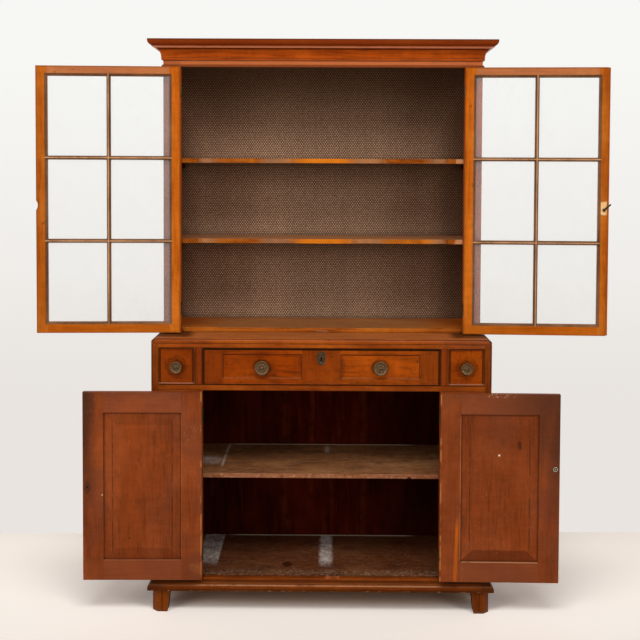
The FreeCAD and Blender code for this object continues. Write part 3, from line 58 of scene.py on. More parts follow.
class Value:
    """A shader socket that can be reckoned with like a number."""

    def __init__(self, tree, socket=None):
        self.tree = tree
        self.socket = socket

    def node(self, kind, settings, inputs, output=0):
        """Add a node, set it up, and give its sockets numbers, colours or other values."""
        made = self.tree.nodes.new("ShaderNode" + kind)
        for name, choice in settings.items():
            setattr(made, name, choice)
        for name, given in inputs.items():
            give(made, name, given)
        return Value(self.tree, made.outputs[output])

    def maths(self, operation, first, second=0.0):
        return self.node("Math", {"operation": operation}, {0: first, 1: second})

    __add__ = sign("ADD")
    __radd__ = sign("ADD", swapped=True)
    __sub__ = sign("SUBTRACT")
    __rsub__ = sign("SUBTRACT", swapped=True)
    __mul__ = sign("MULTIPLY")
    __rmul__ = sign("MULTIPLY", swapped=True)
    __truediv__ = sign("DIVIDE")
    __pow__ = sign("POWER")
    larger = sign("MAXIMUM")

    def __abs__(self):
        return self.maths("ABSOLUTE", self)

    def wave(self):
        """Up to a half and back again, once in every unit."""
        return self.maths("PINGPONG", self, 0.5)

    def rise(self, start, end):
        """0 up to start, 1 from end on, and smooth between. It falls where end is below start."""
        return self.node("MapRange", {"interpolation_type": "SMOOTHSTEP"}, {0: self, 1: start, 2: end})

    def within(self, low, high, soft):
        """1 between two bounds and 0 outside them, with soft edges."""
        return self.rise(low - soft, low + soft) * self.rise(high + soft, high - soft)

    def near(self, place, close, far):
        """1 within the close distance of a place, and 0 from the far distance on."""
        return abs(self - place).rise(far, close)

    def between(self, first, second):
        """A number part of the way from one to another, by this value."""
        return first + (second - first) * self

    def mix(self, first, second):
        """A colour part of the way from one to another, by this value."""
        return self.node("Mix", {"data_type": "RGBA"}, {0: self, 6: first, 7: second}, 2)

    def scaled(self, share):
        """This colour made darker or lighter."""
        return self.node("VectorMath", {"operation": "SCALE"}, {0: self, 3: share})


def swatch(red, green, blue):
    """A colour read off a swatch, each part from 0 to 255."""
    parts = []
    for part in (red, green, blue):
        share = part / 255
        parts.append(((share + 0.055) / 1.055) ** 2.4 if share > 0.04 else share / 12.92)
    return (*parts, 1.0)


def layered(colour, *layers):
    """A colour with others, swatches or values, laid over it by masks or plain shares."""
    for share, shade in layers:
        over = shade if isinstance(shade, Value) else swatch(*shade)
        colour = colour.node("Mix", {"data_type": "RGBA"}, {0: share, 6: colour, 7: over}, 2)
    return colour


def new_finish(name):
    """A material, its shader, and the place on the object as three lengths in metres."""
    finish = bpy.data.materials.new(name)
    finish.use_nodes = True
    tree = finish.node_tree
    place = Value(tree).node("TexCoord", {}, {}, "Object")
    split = tree.nodes.new("ShaderNodeSeparateXYZ")
    tree.links.new(place.socket, split.inputs[0])
    return finish, tree.nodes["Principled BSDF"], [Value(tree, length) for length in split.outputs]


def noise(x, y, z, scale, detail=3.0, roughness=0.55):
    place = x.node("CombineXYZ", {}, {0: x, 1: y, 2: z})
    return x.node("TexNoise", {}, {"Vector": place, "Scale": scale, "Detail": detail, "Roughness": roughness})


def relief(shader, height, strength, distance, **soft):
    """Raise and sink a surface by a height, from its softened normals where they are given."""
    bump = {"Strength": strength, "Distance": distance, "Height": height, **soft}
    give(shader, "Normal", height.node("Bump", {}, bump))


def upright(x, y, z):
    """Lengthwise, across and through, for a board whose grain stands upright."""
    return z, x, y


def level(x, y, z):
    """The same for a board whose grain runs from side to side."""
    return x, z, y


def deep(x, y, z):
    """The same for a board whose grain runs from front to back."""
    return y, z, x


def either(mask, first, second):
    """A grain that runs as first where the mask is 0, and as second where it is 1."""
    def run(x, y, z):
        share = mask(x, y, z)
        return [share.between(one, other) for one, other in zip(first(x, y, z), second(x, y, z))]
    return run


def softened_arrises(x, radius):
    """Normals softened at the arrises, and how near an arris is."""
    soft = x.node("Bevel", {"samples": 6}, {"Radius": radius})
    flat = x.node("NewGeometry", {}, {}, "Normal")
    agree = x.node("VectorMath", {"operation": "DOT_PRODUCT"}, {0: soft, 1: flat}, "Value")
    return soft, agree.rise(0.985, 0.85)


def corner_depth(x, reach):
    """How deep in a corner or a gap a point lies."""
    shade = x.node("AmbientOcclusion", {"samples": 6}, {"Distance": reach}, "AO")
    return shade.rise(0.85, 0.3)


Tones = namedtuple("Tones", "pale middle dark rubbed")
AMBER_TINT = (1.0, 0.5, 0.2, 1.0)
# The colour of the painted shade laid into corners and gaps.
CREVICE_SHADE = (24, 6, 1)
ARRIS = 0.0016


def wood(name, run, tones, rough=0.4, gloss=0.2, rub=0.5, crevice_shade=0.85, reach=0.012, board=None, marks=None):
    """Wood with fine streaks, pores and slow changes of tone along its grain. Board gives each
    board its own number, and marks adds the stains, scuffs, painted shade and painted highlights of one
    place."""
    finish, shader, (x, y, z) = new_finish(name)
    along, across, through = run(x, y, z)
    if board:
        number = board(x, y, z)
        along = along + number * 0.77
        across = across + number * 0.31
    wander = (noise(along, across * 3, through * 3, 4.0, 2.0) - 0.5) * 0.02
    streaks = noise(along * 0.06, across + wander, through, 130.0, 6.0, 0.6)
    pores = noise(along * 0.05, across + wander, through, 900.0, 2.0, 0.6)
    slow = noise(along * 0.5, across, through, 9.0, 4.0)
    ripple = noise(along * 2.5, across * 0.6, through, 26.0, 3.0)
    mottle = noise(x, y, z, 26.0, 4.0, 0.6)
    flecks = noise(x, y, z, 240.0, 4.0, 0.7).rise(0.52, 0.7)
    colour = layered(
        streaks.rise(0.3, 0.6).mix(swatch(*tones.dark), swatch(*tones.middle)),
        (slow.rise(0.4, 0.7) * 0.8, tones.pale),
        ((pores.rise(0.56, 0.7) * 0.5).larger(flecks * 0.45), tones.dark),
    )
    colour = colour.scaled(0.6 + ripple * 0.4 + mottle * 0.4)
    soft, edge = softened_arrises(x, ARRIS)
    # The arrises are painted paler: rubbed wear, and painted highlights where the rounded edges catch the
    # light.
    if rub:
        colour = layered(colour, (edge * mottle.rise(0.35, 0.6) * rub, tones.rubbed))
    coat = rough + (mottle - 0.5) * 0.3 + (pores - 0.5) * 0.15
    if marks:
        colour, coat = marks(x, y, z, colour, coat, mottle)
    # Corners and gaps are darkened by painted shade, as deep as the ambient occlusion finds them.
    hollow = corner_depth(x, reach)
    give(shader, "Base Color", layered(colour, (hollow * crevice_shade, CREVICE_SHADE)))
    give(shader, "Roughness", coat + hollow * 0.2)
    relief(shader, pores * 0.6 + streaks, 0.2, 0.0005, Normal=soft)
    give(shader, "Specular IOR Level", gloss)
    give(shader, "Specular Tint", AMBER_TINT)
    return finish


def rotation(degrees, axis):
    return Matrix.Rotation(math.radians(degrees), 4, axis)


def paint(finish, *names):
    for name in names:
        slots = nodes[name].data.materials
        slots.clear()
        slots.append(finish)


AMBER = Tones((164, 78, 18), (138, 60, 12), (100, 38, 6), (206, 140, 96))
FRONT = -0.2157
CASE_SIDE = 0.59
INNER_SIDE = 0.58
LEDGE = 0.961
BASE_FOOT = 0.08
BASE_TOP = 0.107
FOOT_ARRIS = 0.554
STILE_ARRIS = 0.5625
DIVIDER_NEAR = 0.409
DIVIDER_FAR = 0.4375
DIVIDER_BEAD = 0.42275
RAIL_FOOT = 0.779
RAIL_HEAD = 0.8035
SHARP = 0.0002
CRISP = 0.0005


def side_strips(side, front):
    """1 on a moulding's side strips, up to the mitres at a case's front corners."""
    return lambda x, y, z: (abs(x) - side + y - front).rise(-SHARP, SHARP)


def rails_between(middle, half):
    """1 on the rails of a pair of doors, 0 on their stiles."""
    return lambda x, y, z: abs(x).within(middle - half, middle + half, SHARP)


def low_down(z):
    """Up to 1 towards the floor, where the case is darker."""
    return z.rise(0.3, 0.1)


def sides_apart(x, y, z):
    """A number for the left side and another for the right."""
    return x.rise(-0.001, 0.001) * 5 + 1


def base_marks(x, y, z, colour, coat, mottle):
    """Painted shade along the top, a painted highlight along the middle, painted shade on the chipped lower
    edge, and dark ends.
    """
    between_doors = abs(x).rise(0.46, 0.41)
    # Painted shade along the moulding's top, weaker between the doors.
    top_shade = z.rise(BASE_TOP - 0.0025, BASE_TOP) * (0.9 - between_doors * 0.35)
    corner = abs(x).rise(0.52, 0.575) * 0.6
    # Painted shade along the moulding's lower edge.
    bottom = z.rise(BASE_FOOT + 0.0095, BASE_FOOT + 0.0065) * 0.6
    # A painted highlight along the middle of the moulding, where its curve faces the light, strongest between
    # the doors.
    line = z.within(BASE_FOOT + 0.0165, BASE_FOOT + 0.021, 0.0015) * mottle.rise(0.25, 0.5)
    chips = noise(x, y, z, 110.0, 3.0, 0.7).rise(0.58, 0.64) * z.rise(BASE_FOOT + 0.0035, BASE_FOOT + 0.001)
    return layered(
        colour.scaled(1 - low_down(z) * 0.51),
        (top_shade.larger(corner).larger(bottom), (42, 16, 4)),
        (line * (0.1 + between_doors * 0.28), (212, 150, 108)),
        (chips * 0.7, (186, 134, 92)),
    ), coat


def case_uprights(x, y, z, colour, coat, mottle):
    """Darker outer stiles, a seam and worn toes on the feet, painted shade by the divider and on the
    unvarnished sides inside.
    """
    aside = abs(x)
    seam = aside.near(FOOT_ARRIS, 0.001, 0.003) * z.rise(BASE_FOOT, BASE_FOOT - 0.002) * y.rise(-0.19, -0.2)
    toe = (z + (mottle - 0.5) * 0.02).rise(0.01, 0.002)
    colour = layered(colour, (seam * 0.7, (40, 14, 4)), (toe * 0.55, (150, 122, 92)))
    divider = aside.within(DIVIDER_NEAR, DIVIDER_FAR, CRISP) * z.rise(0.8, 0.802)
    darker = aside.rise(0.56, 0.566).larger(low_down(z)).larger(divider)
    colour = colour.scaled(1 - darker * 0.36 - z.rise(BASE_FOOT - 0.001, BASE_FOOT - 0.003) * 0.1)
    # Painted shade in the gaps and quirks beside the divider's bead, and dark lines at the stiles' arrises.
    from_bead = abs(aside - DIVIDER_BEAD)
    gaps = from_bead.rise(0.0112, 0.0125).larger(from_bead.near(0.0085, 0.0006, 0.0018) * 0.7)
    outer_arris = aside.rise(0.584, 0.588).larger(aside.near(STILE_ARRIS, 0.0015, 0.003))
    lines = (gaps * divider).larger(outer_arris * z.rise(0.79, 0.8)) * y.rise(-0.2, -0.21)
    # The sides' inner faces are dark: unvarnished wood, darkened further by painted shade.
    inside = aside.rise(INNER_SIDE + 0.001, INNER_SIDE - 0.001) * y.rise(-0.19, -0.188)
    return layered(
        colour,
        (divider * 0.4, (122, 36, 6)),
        (lines * 0.85, (30, 8, 2)),
        (inside * 0.85, (44, 12, 4)),
    ), coat + inside * 0.2


def rail_marks(x, y, z, colour, coat, mottle):
    """The ledge is paler and worn, with a painted highlight on its front bead, painted shade behind it
    and painted shadow under the upper doors; painted shade edges the drawer rail, the lower doors'
    painted shadow falls on the bottom rail, and a splinter is missing from that rail."""
    aside = abs(x)
    drawer_rail = z.within(RAIL_FOOT, RAIL_HEAD, CRISP)
    # Painted shade along the drawer rail's top and bottom edges, beside the gaps.
    rail_foot = z.rise(RAIL_FOOT + 0.0055, RAIL_FOOT + 0.003) * 0.6
    rail_edges = z.rise(RAIL_HEAD - 0.005, RAIL_HEAD - 0.0035).larger(rail_foot) * drawer_rail
    right_end = x.rise(0.3, 0.55) * z.rise(0.9, 0.92) * 0.35
    # Painted shadow of the open doors on the bottom rail.
    door_shadow = aside.rise(0.408, 0.412) * z.rise(0.3, 0.2) * 0.75
    ledge = z.rise(LEDGE - 0.001, LEDGE - SHARP)
    top = ledge * y.rise(FRONT + 0.004, FRONT + 0.012)
    waxy = noise(x * 0.06, y, z, 110.0, 3.0).rise(0.45, 0.6) * top * 0.4
    # Painted shade on the step behind the ledge's front bead.
    lip = z.rise(LEDGE - 0.004, LEDGE - 0.003) * y.rise(FRONT + 0.007, FRONT + 0.004)
    nosing = y.rise(FRONT + 0.006, FRONT - 0.002)
    # A painted highlight along the ledge's rounded front bead.
    rim = z.within(LEDGE - 0.0058, LEDGE - 0.0028, 0.0006) * nosing * (0.75 - aside.rise(0.42, 0.5) * 0.4)
    chipped_end = (aside + (mottle - 0.5) * 0.012).rise(0.577, 0.584) * z.rise(LEDGE - 0.012, LEDGE - 0.01)
    door_shade = aside.rise(0.44, 0.48) * y.rise(-0.2, -0.15) * ledge
    under = z.within(LEDGE - 0.0185, LEDGE - 0.0145, 0.001) * nosing
    splinter = x.within(0.018, 0.066, 0.002) * (z + (mottle - 0.5) * 0.004).within(0.1212, 0.124, CRISP)
    return layered(
        colour.scaled(1 - low_down(z) * 0.22 - drawer_rail * 0.16),
        (rail_edges * 0.85, (36, 10, 2)),
        (right_end, (94, 52, 36)),
        (door_shadow, (34, 10, 2)),
        (top * 0.6, (196, 116, 60)),
        (waxy, (84, 36, 10)),
        (lip * 0.7, (64, 22, 6)),
        (rim * mottle.rise(0.2, 0.45), (208, 150, 116)),
        (chipped_end * 0.75, (34, 12, 4)),
        (door_shade * 0.8, (26, 6, 1)),
        (under * 0.7, (40, 14, 4)),
        (splinter * mottle.rise(0.3, 0.5) * 0.8, (190, 104, 60)),
    ), coat + top * 0.15


paint(wood("varnished_upright", upright, AMBER, board=sides_apart, marks=case_uprights), "lower_sides",
      "corner_stiles", "door_stiles", "drawer_dividers", "feet")
paint(wood("varnished_level", level, AMBER, rub=0.3, marks=rail_marks), "front_rails", "lower_top")
paint(wood("varnished_base", either(side_strips(CASE_SIDE, FRONT), level, deep), AMBER, marks=base_marks),
      "base_moulding")


# Inside of the lower case: back boards, floor, shelf, cleats and the drawers' runners, never
# varnished. Two strips of the floor where partitions stood are bare and chalky, the shelf is
# rubbed and dusty, and the back boards are nearly black, their own dark tone deepened by painted shade.
# The dark tones of the inner boards, partly their own and partly painted shade of the deep cupboard.
DUSKY = Tones((76, 18, 6), (54, 8, 3), (30, 3, 1), (120, 70, 40))
SHELF_BROWN = Tones((160, 110, 66), (128, 78, 40), (84, 42, 16), (200, 136, 100))
LEFT_SEAM = -0.1545
RIGHT_SEAM = 0.1485
FLOOR_LEVELS = (0.1, 0.14)
SHELF_LEVELS = (0.46, 0.49)
SHELF_FRONT = -0.187
LEFT_STRIP = (-0.45, -0.3735)
MIDDLE_STRIP = (-0.004, 0.04)


def spot(x, z, across, up, radius, stretch=1.0):
    """1 on a round mark, or an upright one where it is stretched."""
    away = ((x - across) ** 2 + ((z - up) / stretch) ** 2) ** 0.5
    return away.rise(radius, radius * 0.6)


def back_board(x, y, z):
    past_left = x.rise(LEFT_SEAM - CRISP, LEFT_SEAM + CRISP)
    past_right = x.rise(RIGHT_SEAM - CRISP, RIGHT_SEAM + CRISP)
    return past_left * 3 + past_right * 4


def seam_stains(x, y, z, colour, coat, mottle):
    """Warmer streaks down one side of each seam and below leaks, and a darker right end."""
    ragged = x + (mottle - 0.5) * 0.01
    left = ragged.within(LEFT_SEAM - 0.004, LEFT_SEAM + 0.02, 0.012)
    right = ragged.within(RIGHT_SEAM, RIGHT_SEAM + 0.024, 0.012)
    drips = noise(x, y, z * 0.08, 34.0, 3.0, 0.6).rise(0.5, 0.7) * x.rise(0.25, 0.0) * 0.4
    stains = ((left + right) * 0.5 + drips) * mottle.rise(0.2, 0.7)
    colour = layered(colour, (stains, (108, 44, 14))).scaled(1 + abs(x).rise(0.16, 0.11) * 0.45)
    return layered(colour, (x.rise(0.2, 0.4) * 0.6, (24, 3, 2))), coat


def chalky(x, y, z, colour, coat, mottle):
    """Bare, chalky strips on the floor, a pale run and blotch on the shelf, dust and scratches."""
    fine = noise(x, y, z, 90.0, 4.0, 0.7)
    ragged = (fine - 0.5) * 0.02
    floor = z.within(*FLOOR_LEVELS, 0.001)
    shelf = z.within(*SHELF_LEVELS, 0.001)
    strips = x.within(*LEFT_STRIP, 0.002) * 0.85 + (x + ragged).within(*MIDDLE_STRIP, 0.008)
    strips = strips * (y + ragged * 3).rise(-0.13, -0.03) * floor
    run = (x + ragged * 0.6).within(-0.361, -0.352, 0.003) * (y + ragged * 3).rise(-0.1, -0.07)
    blotch = (x + ragged * 5).within(-0.44, -0.37, 0.02) * (y + ragged * 5).within(-0.05, 0.04, 0.03)
    nick = (x + ragged).within(0.012, 0.03, 0.004) * (y + ragged).within(0.12, 0.2, 0.03)
    worn = (run * 0.8).larger(blotch * 0.75).larger(nick * 0.8) * shelf
    wisps = noise(x * 1.4, y * 0.25, z, 110.0, 4.0, 0.7)
    chalk = strips.larger(worn) * (mottle + fine + wisps).rise(0.95, 1.9)
    back_edge = y.rise(0.227, 0.231) * (abs(x) + ragged * 2).rise(0.38, 0.3)
    dust = noise(x * 0.25, y, z, 120.0, 5.0, 0.7).rise(0.45, 0.75) * (0.22 + shelf * 0.43)
    scratches = noise(x + y * 0.6, y * 0.12 - x * 0.05, z, 330.0, 2.0).rise(0.66, 0.74) * 0.5
    crossing = noise(y * 0.7 - x, x * 0.1 + y * 0.1, z, 240.0, 2.0).rise(0.68, 0.75) * 0.5
    front_dust = y.rise(-0.12, -0.17) * fine.rise(0.45, 0.65) * floor * 0.5
    scratches = scratches.larger(crossing).larger(front_dust)
    patches = noise(x * 0.6, y * 1.2, z, 11.0, 5.0, 0.65).rise(0.5, 0.68) * 0.6
    knot = spot(x + ragged, y * 0.7 + ragged, -0.12, -0.06, 0.022) * floor
    front = y.rise(SHELF_FRONT + 0.001, SHELF_FRONT - 0.001) * shelf
    lower_edge = z.rise(0.4695, 0.468) * shelf * (0.35 + mottle * 0.5)
    notch = spot(x, z, 0.309, 0.467, 0.009)
    # The floor and shelf are painted darker towards the back, in painted shade.
    return layered(
        colour.scaled(y.rise(0.24, -0.2) * 0.45 + 0.62 + shelf * 0.1),
        (floor * 0.7, (72, 24, 8)),
        (patches, (52, 18, 5)),
        (dust.larger(scratches), (164, 138, 114)),
        (chalk * 0.95, (202, 188, 180)),
        (back_edge * 0.9, (222, 204, 178)),
        (knot * 0.75, (24, 6, 2)),
        (front * 0.65, (134, 80, 56)),
        (front * fine.rise(0.5, 0.68) * 0.4, (204, 150, 118)),
        (front * mottle.rise(0.5, 0.36) * 0.5, (84, 40, 22)),
        (lower_edge, (50, 18, 8)),
        (front * notch, (40, 14, 6)),
    ), coat + chalk * 0.2 + dust * 0.2


paint(wood("dusky_back", upright, DUSKY, rough=0.7, gloss=0.06, rub=0, board=back_board, marks=seam_stains),
      "lower_back_boards")
paint(wood("dusky_deep", deep, DUSKY, rough=0.7, gloss=0.06, rub=0), "drawer_partitions", "drawer_runners",
      "drawer_kickers", "shelf_cleats")
paint(wood("dusty_shelf", level, SHELF_BROWN, rough=0.65, gloss=0.1, rub=0.9, marks=chalky),
      "lower_floor", "lower_shelf")


# Upper case: sides, floor, top, stiles, frieze, neck moulding and cornice, standing back on the
# lower case's top. It is lighter and cleaner wood than the lower case, and its cornice is built
# up of a crown, a cove and beads, mitred at the corners.
HONEY = Tones((180, 82, 18), (156, 64, 8), (116, 42, 4), (206, 136, 92))
BACK_BROWN = Tones((142, 94, 54), (128, 82, 46), (98, 58, 28), (190, 140, 96))
UPPER_SIDE = 0.568
UPPER_FRONT = -0.0717
CROWN_FOOT = 1.982
FRIEZE_HEAD = 1.936
FRIEZE_FOOT = 1.92
UPPER_SEAM = 0.28


def cornice_bands(x, y, z, colour, coat, mottle):
    """The crown is in painted shade but for a painted highlight on its lower arris, a painted shadow
    fills the groove below, and the flats under the beads are pinker.
    """
    arris = z.within(CROWN_FOOT - 0.004, CROWN_FOOT, 0.0008) * mottle.rise(0.2, 0.45)
    groove = z.within(CROWN_FOOT - 0.0098, CROWN_FOOT - 0.005, 0.0008)
    # Painted shade on the crown, darker at its top, a painted highlight on its lower arris and a painted
    # shadow line in the groove below it.
    return layered(
        colour,
        (z.rise(CROWN_FOOT, CROWN_FOOT + 0.003) * 0.8, (102, 34, 6)),
        (z.rise(2.0, 2.004) * 0.5, (60, 26, 10)),
        (arris * 0.95, (216, 144, 110)),
        (groove * 0.75, (52, 16, 2)),
        (z.rise(FRIEZE_HEAD + 0.001, FRIEZE_HEAD - 0.001) * 0.6, (184, 108, 66)),
        (z.rise(FRIEZE_FOOT + CRISP, FRIEZE_FOOT - CRISP) * 0.85, (100, 45, 17)),
    ), coat


def stile_tops(x, y, z, colour, coat, mottle):
    """The stiles' upper ends share the frieze's pinker tone, and the left one is darker."""
    left = x.rise(-0.5, -0.51) * y.rise(UPPER_FRONT + 0.003, UPPER_FRONT + 0.001)
    return layered(colour, (left * 0.55, (92, 30, 2)), (z.rise(1.914, 1.918) * 0.6, (176, 100, 60))), coat


def upper_seams(x, y, z):
    left = x.rise(-UPPER_SEAM, 0.001 - UPPER_SEAM)
    return left + x.rise(-CRISP, CRISP) * 2 + x.rise(UPPER_SEAM - 0.001, UPPER_SEAM) * 4


paint(wood("upper_upright", upright, HONEY, board=sides_apart, marks=stile_tops), "upper_sides",
      "upper_stiles")
paint(wood("upper_level", level, HONEY, marks=cornice_bands), "frieze_rail")
paint(wood("upper_cornice", either(side_strips(UPPER_SIDE, UPPER_FRONT), level, deep), HONEY,
           marks=cornice_bands), "cornice", "neck_moulding")
paint(wood("raw_back", upright, BACK_BROWN, rough=0.75, gloss=0.2, rub=0.3, board=upper_seams),
      "upper_back_boards")
paint(wood("raw_top", level, BACK_BROWN, rough=0.75, gloss=0.2, rub=0.3), "upper_top_board")


# Lining of the upper case: a paper-backed stuff with a small lattice, pasted on the back boards.
# It is painted darker, unevenly, at the sides and in painted shadow under the top and each shelf,
# and lighter on the left as painted light; the boards behind it show through as faint upright bands.
LATTICE_WIDE = 0.0092
LATTICE_HIGH = 0.0134


def lining():
    finish, shader, (x, y, z) = new_finish("lattice_lining")
    across = x / LATTICE_WIDE
    up = z / LATTICE_HIGH
    rising = (across + up).wave()
    falling = (across - up).wave()
    uneven = (noise(x, y, z, 260.0, 3.0) - 0.5) * 0.6
    knots = (rising + falling + uneven).rise(0.55, 0.8)
    lines = (0.5 - abs(rising - falling) + uneven).rise(0.38, 0.5) * 0.35
    threads = noise(x, y, z * 0.3, 1500.0, 2.0)
    cloudy = noise(x, y, z * 0.5, 3.5, 4.0)
    # Painted shade, deeper at the sides and a little more on the right, and painted shadows under the top and
    # under each shelf.
    brown = (x.rise(0.0, 0.3) * 0.06 + abs(x) + (cloudy - 0.5) * 0.12).rise(0.42, 0.6) * 0.7
    shadow_under_top = z.rise(1.6, 1.9) * 0.75
    shadow_under_high_shelf = z.rise(1.46, 1.57) * z.rise(1.59, 1.58) * 0.4
    shadow_under_low_shelf = z.rise(1.2, 1.28) * z.rise(1.3, 1.29) * 0.45
    brown = brown.larger(shadow_under_top).larger(shadow_under_high_shelf).larger(shadow_under_low_shelf)
    seam = abs(x).near(UPPER_SEAM, 0.0, 0.012) * 0.07
    colour = knots.larger(lines).mix(swatch(88, 62, 44), swatch(184, 154, 126))
    bands = noise(x, y * 0.05, z * 0.05, 16.0, 2.0) - 0.5
    # The left half is painted lighter, a painted pool of light.
    colour = colour.scaled(1.12 + (cloudy - 0.5) * 0.4 + bands * 0.35 + x.rise(-0.05, -0.3) * 0.34)
    shade_and_seam_brown = x.node("VectorMath", {"operation": "SCALE"}, {0: swatch(74, 44, 20)[:3], 3: 0.6 + knots * 0.6})
    give(shader, "Base Color", layered(
        colour,
        # The painted shade, and the faint bands over the board seams.
        (brown.larger(seam), shade_and_seam_brown),
        # Painted shade in the corners.
        (corner_depth(x, 0.03) * 0.6, (40, 20, 8)),
    ))
    give(shader, "Roughness", 0.8 + threads * 0.15)
    relief(shader, threads + knots, 0.3, 0.0003)
    give(shader, "Specular IOR Level", 0.1)
    return finish


paint(lining(), "back_lining")


# Glazed shelves and the upper floor: boards of clear, figured wood. The shelves' front edges are
# shaped in lobes, with painted shade where the lobes meet and orange painted highlights along them, and the
# floor has a pale chip in its front edge.
CLEAR = Tones((194, 108, 30), (166, 84, 16), (112, 46, 6), (230, 164, 100))
FLOOR_FRONT = -0.049


def lobed_edges(x, y, z, colour, coat, mottle):
    """Painted shade where two lobes of a front edge meet, on figured wood, painted highlights along the
    lobes, and pale ends.
    """
    edge = y.rise(-0.018, -0.026)
    ragged = (noise(x, y * 0.3, z * 0.3, 60.0, 4.0, 0.7) - 0.5) * 0.09
    # Painted shade where two lobes meet and at the crease between them.
    meeting = (abs(x) + ragged).near(0.165, 0.01, 0.045) * 0.8
    joint = abs(x).near(0.152, 0.001, 0.0025) * 0.7
    figure = noise(x, y, z * 0.5, 22.0, 3.0, 0.6).rise(0.52, 0.7) * 0.5
    colour = layered(colour, (meeting.larger(joint).larger(figure) * edge, (104, 30, 2)))
    # Painted highlights along the lobes, brightest at the middle of the shelf.
    shine = noise(x, y * 0.3, z * 0.3, 14.0, 2.0).rise(0.5, 0.65) * 0.4
    shine = shine.larger((abs(x) + ragged * 0.3).rise(0.14, 0.05) * 0.5) * edge
    pale_end = (x + ragged * 0.2).within(0.478, 0.53, 0.003) * edge * 0.6
    return layered(
        colour.scaled(1 - edge * 0.24),
        (shine, (238, 134, 28)),
        (y.rise(-0.035, -0.025) * 0.55, (146, 112, 82)),
        (pale_end, (222, 160, 116)),
    ), coat


def floor_chip(x, y, z, colour, coat, mottle):
    """A pale chip in the front edge of the floor, which is duller in the middle."""
    middle = abs(x).rise(0.5, 0.3) * y.rise(-0.05, -0.03) * 0.55
    front = y.rise(FLOOR_FRONT + CRISP, FLOOR_FRONT - CRISP)
    ragged = x + (mottle - 0.5) * 0.02
    chip = ragged.within(-0.022, 0.024, 0.002) * z.within(0.9625, 0.969, 0.0008) * front
    return layered(
        colour,
        (middle, (140, 100, 62)),
        (front * 0.4, (168, 118, 78)),
        (chip, (246, 224, 186)),
    ), coat


paint(wood("clear_shelves", level, CLEAR, rub=0.4, marks=lobed_edges), "upper_shelf_1", "upper_shelf_2")
paint(wood("clear_floor", level, CLEAR, rough=0.45, rub=0.6, marks=floor_chip), "upper_floor_board")


# Hinges: brass butts, two to a door, let into the stiles. They have gone brown, and only
# their knuckles are rubbed.
def metal(name, bright, dull, rough, metallic, wear):
    """Cast metal, dull in its hollows and worn bright on its edges and high places."""
    finish, shader, (x, y, z) = new_finish(name)
    patches = noise(x, y, z, 170.0, 5.0, 0.6)
    fine = noise(x, y, z, 900.0, 3.0)
    soft, edge = softened_arrises(x, 0.0007)
    hollow = corner_depth(x, 0.005)
    polish = (patches.rise(0.45, 0.7) * wear).larger(edge)
    colour = polish.mix(swatch(*dull), swatch(*bright))
    give(shader, "Base Color", layered(colour, (hollow * 0.8, (22, 14, 8))))
    give(shader, "Roughness", rough + (patches - 0.5) * 0.3 + hollow * 0.2 - polish * 0.12)
    relief(shader, patches + fine * 0.5, 0.25, 0.0002, Normal=soft)
    give(shader, "Metallic", metallic)
    return finish


hinge_brass = metal("brown_hinges", (150, 116, 70), (66, 44, 24), 0.5, 0.85, 0.3)
paint(hinge_brass, "case_hinges", "lower_left_door_leaves", "lower_right_door_leaves",
      "upper_left_door_leaves", "upper_right_door_leaves")


# Drawers: fronts of the richest wood of the piece, dovetailed to plain sides. The middle one
# imitates three: two sunk fields between blocks of upright grain, with a cock bead round all.
# The small ones keep the dark ghost of an older, lobed plate round each knob.
FIGURED = Tones((160, 69, 6), (136, 52, 2), (90, 29, 1), (196, 128, 88))
RAW = Tones((206, 168, 120), (184, 142, 94), (148, 106, 64), (216, 184, 140))
DRAWER_HEAD = 0.926
MIDDLE_HALF = 0.4085
SMALL_HALF = 0.0575
SUNK_INNER = 0.066
SUNK_OUTER = 0.3435
SUNK_FOOT = 0.822
SUNK_HEAD = 0.909
BEVEL = 0.005
MIDDLE_KNOB = 0.205
SMALL_KNOB = 0.5025
KNOB_LEVEL = 0.8625
TINY = 0.0000001


def drawer_blocks(x, y, z):
    """1 on the blocks of upright grain at the middle and the ends of the middle drawer."""
    middle = abs(x).rise(SUNK_INNER, SUNK_INNER - SHARP)
    return middle + abs(x).within(SUNK_OUTER, DIVIDER_NEAR, SHARP)


def drawer_edges(across, z, half):
    """Painted shade along a drawer's top and sides, beside its gaps."""
    sides = across.rise(half - 0.0045, half - 0.003) * 0.8
    return sides.larger(z.rise(DRAWER_HEAD - 0.002, DRAWER_HEAD) * 0.8)


def redder_left(x, colour):
    """The left end of the drawers stood nearer a window and has gone redder and darker."""
    return layered(colour, (x.rise(0.1, -0.5) * 0.45, (112, 38, 2)))


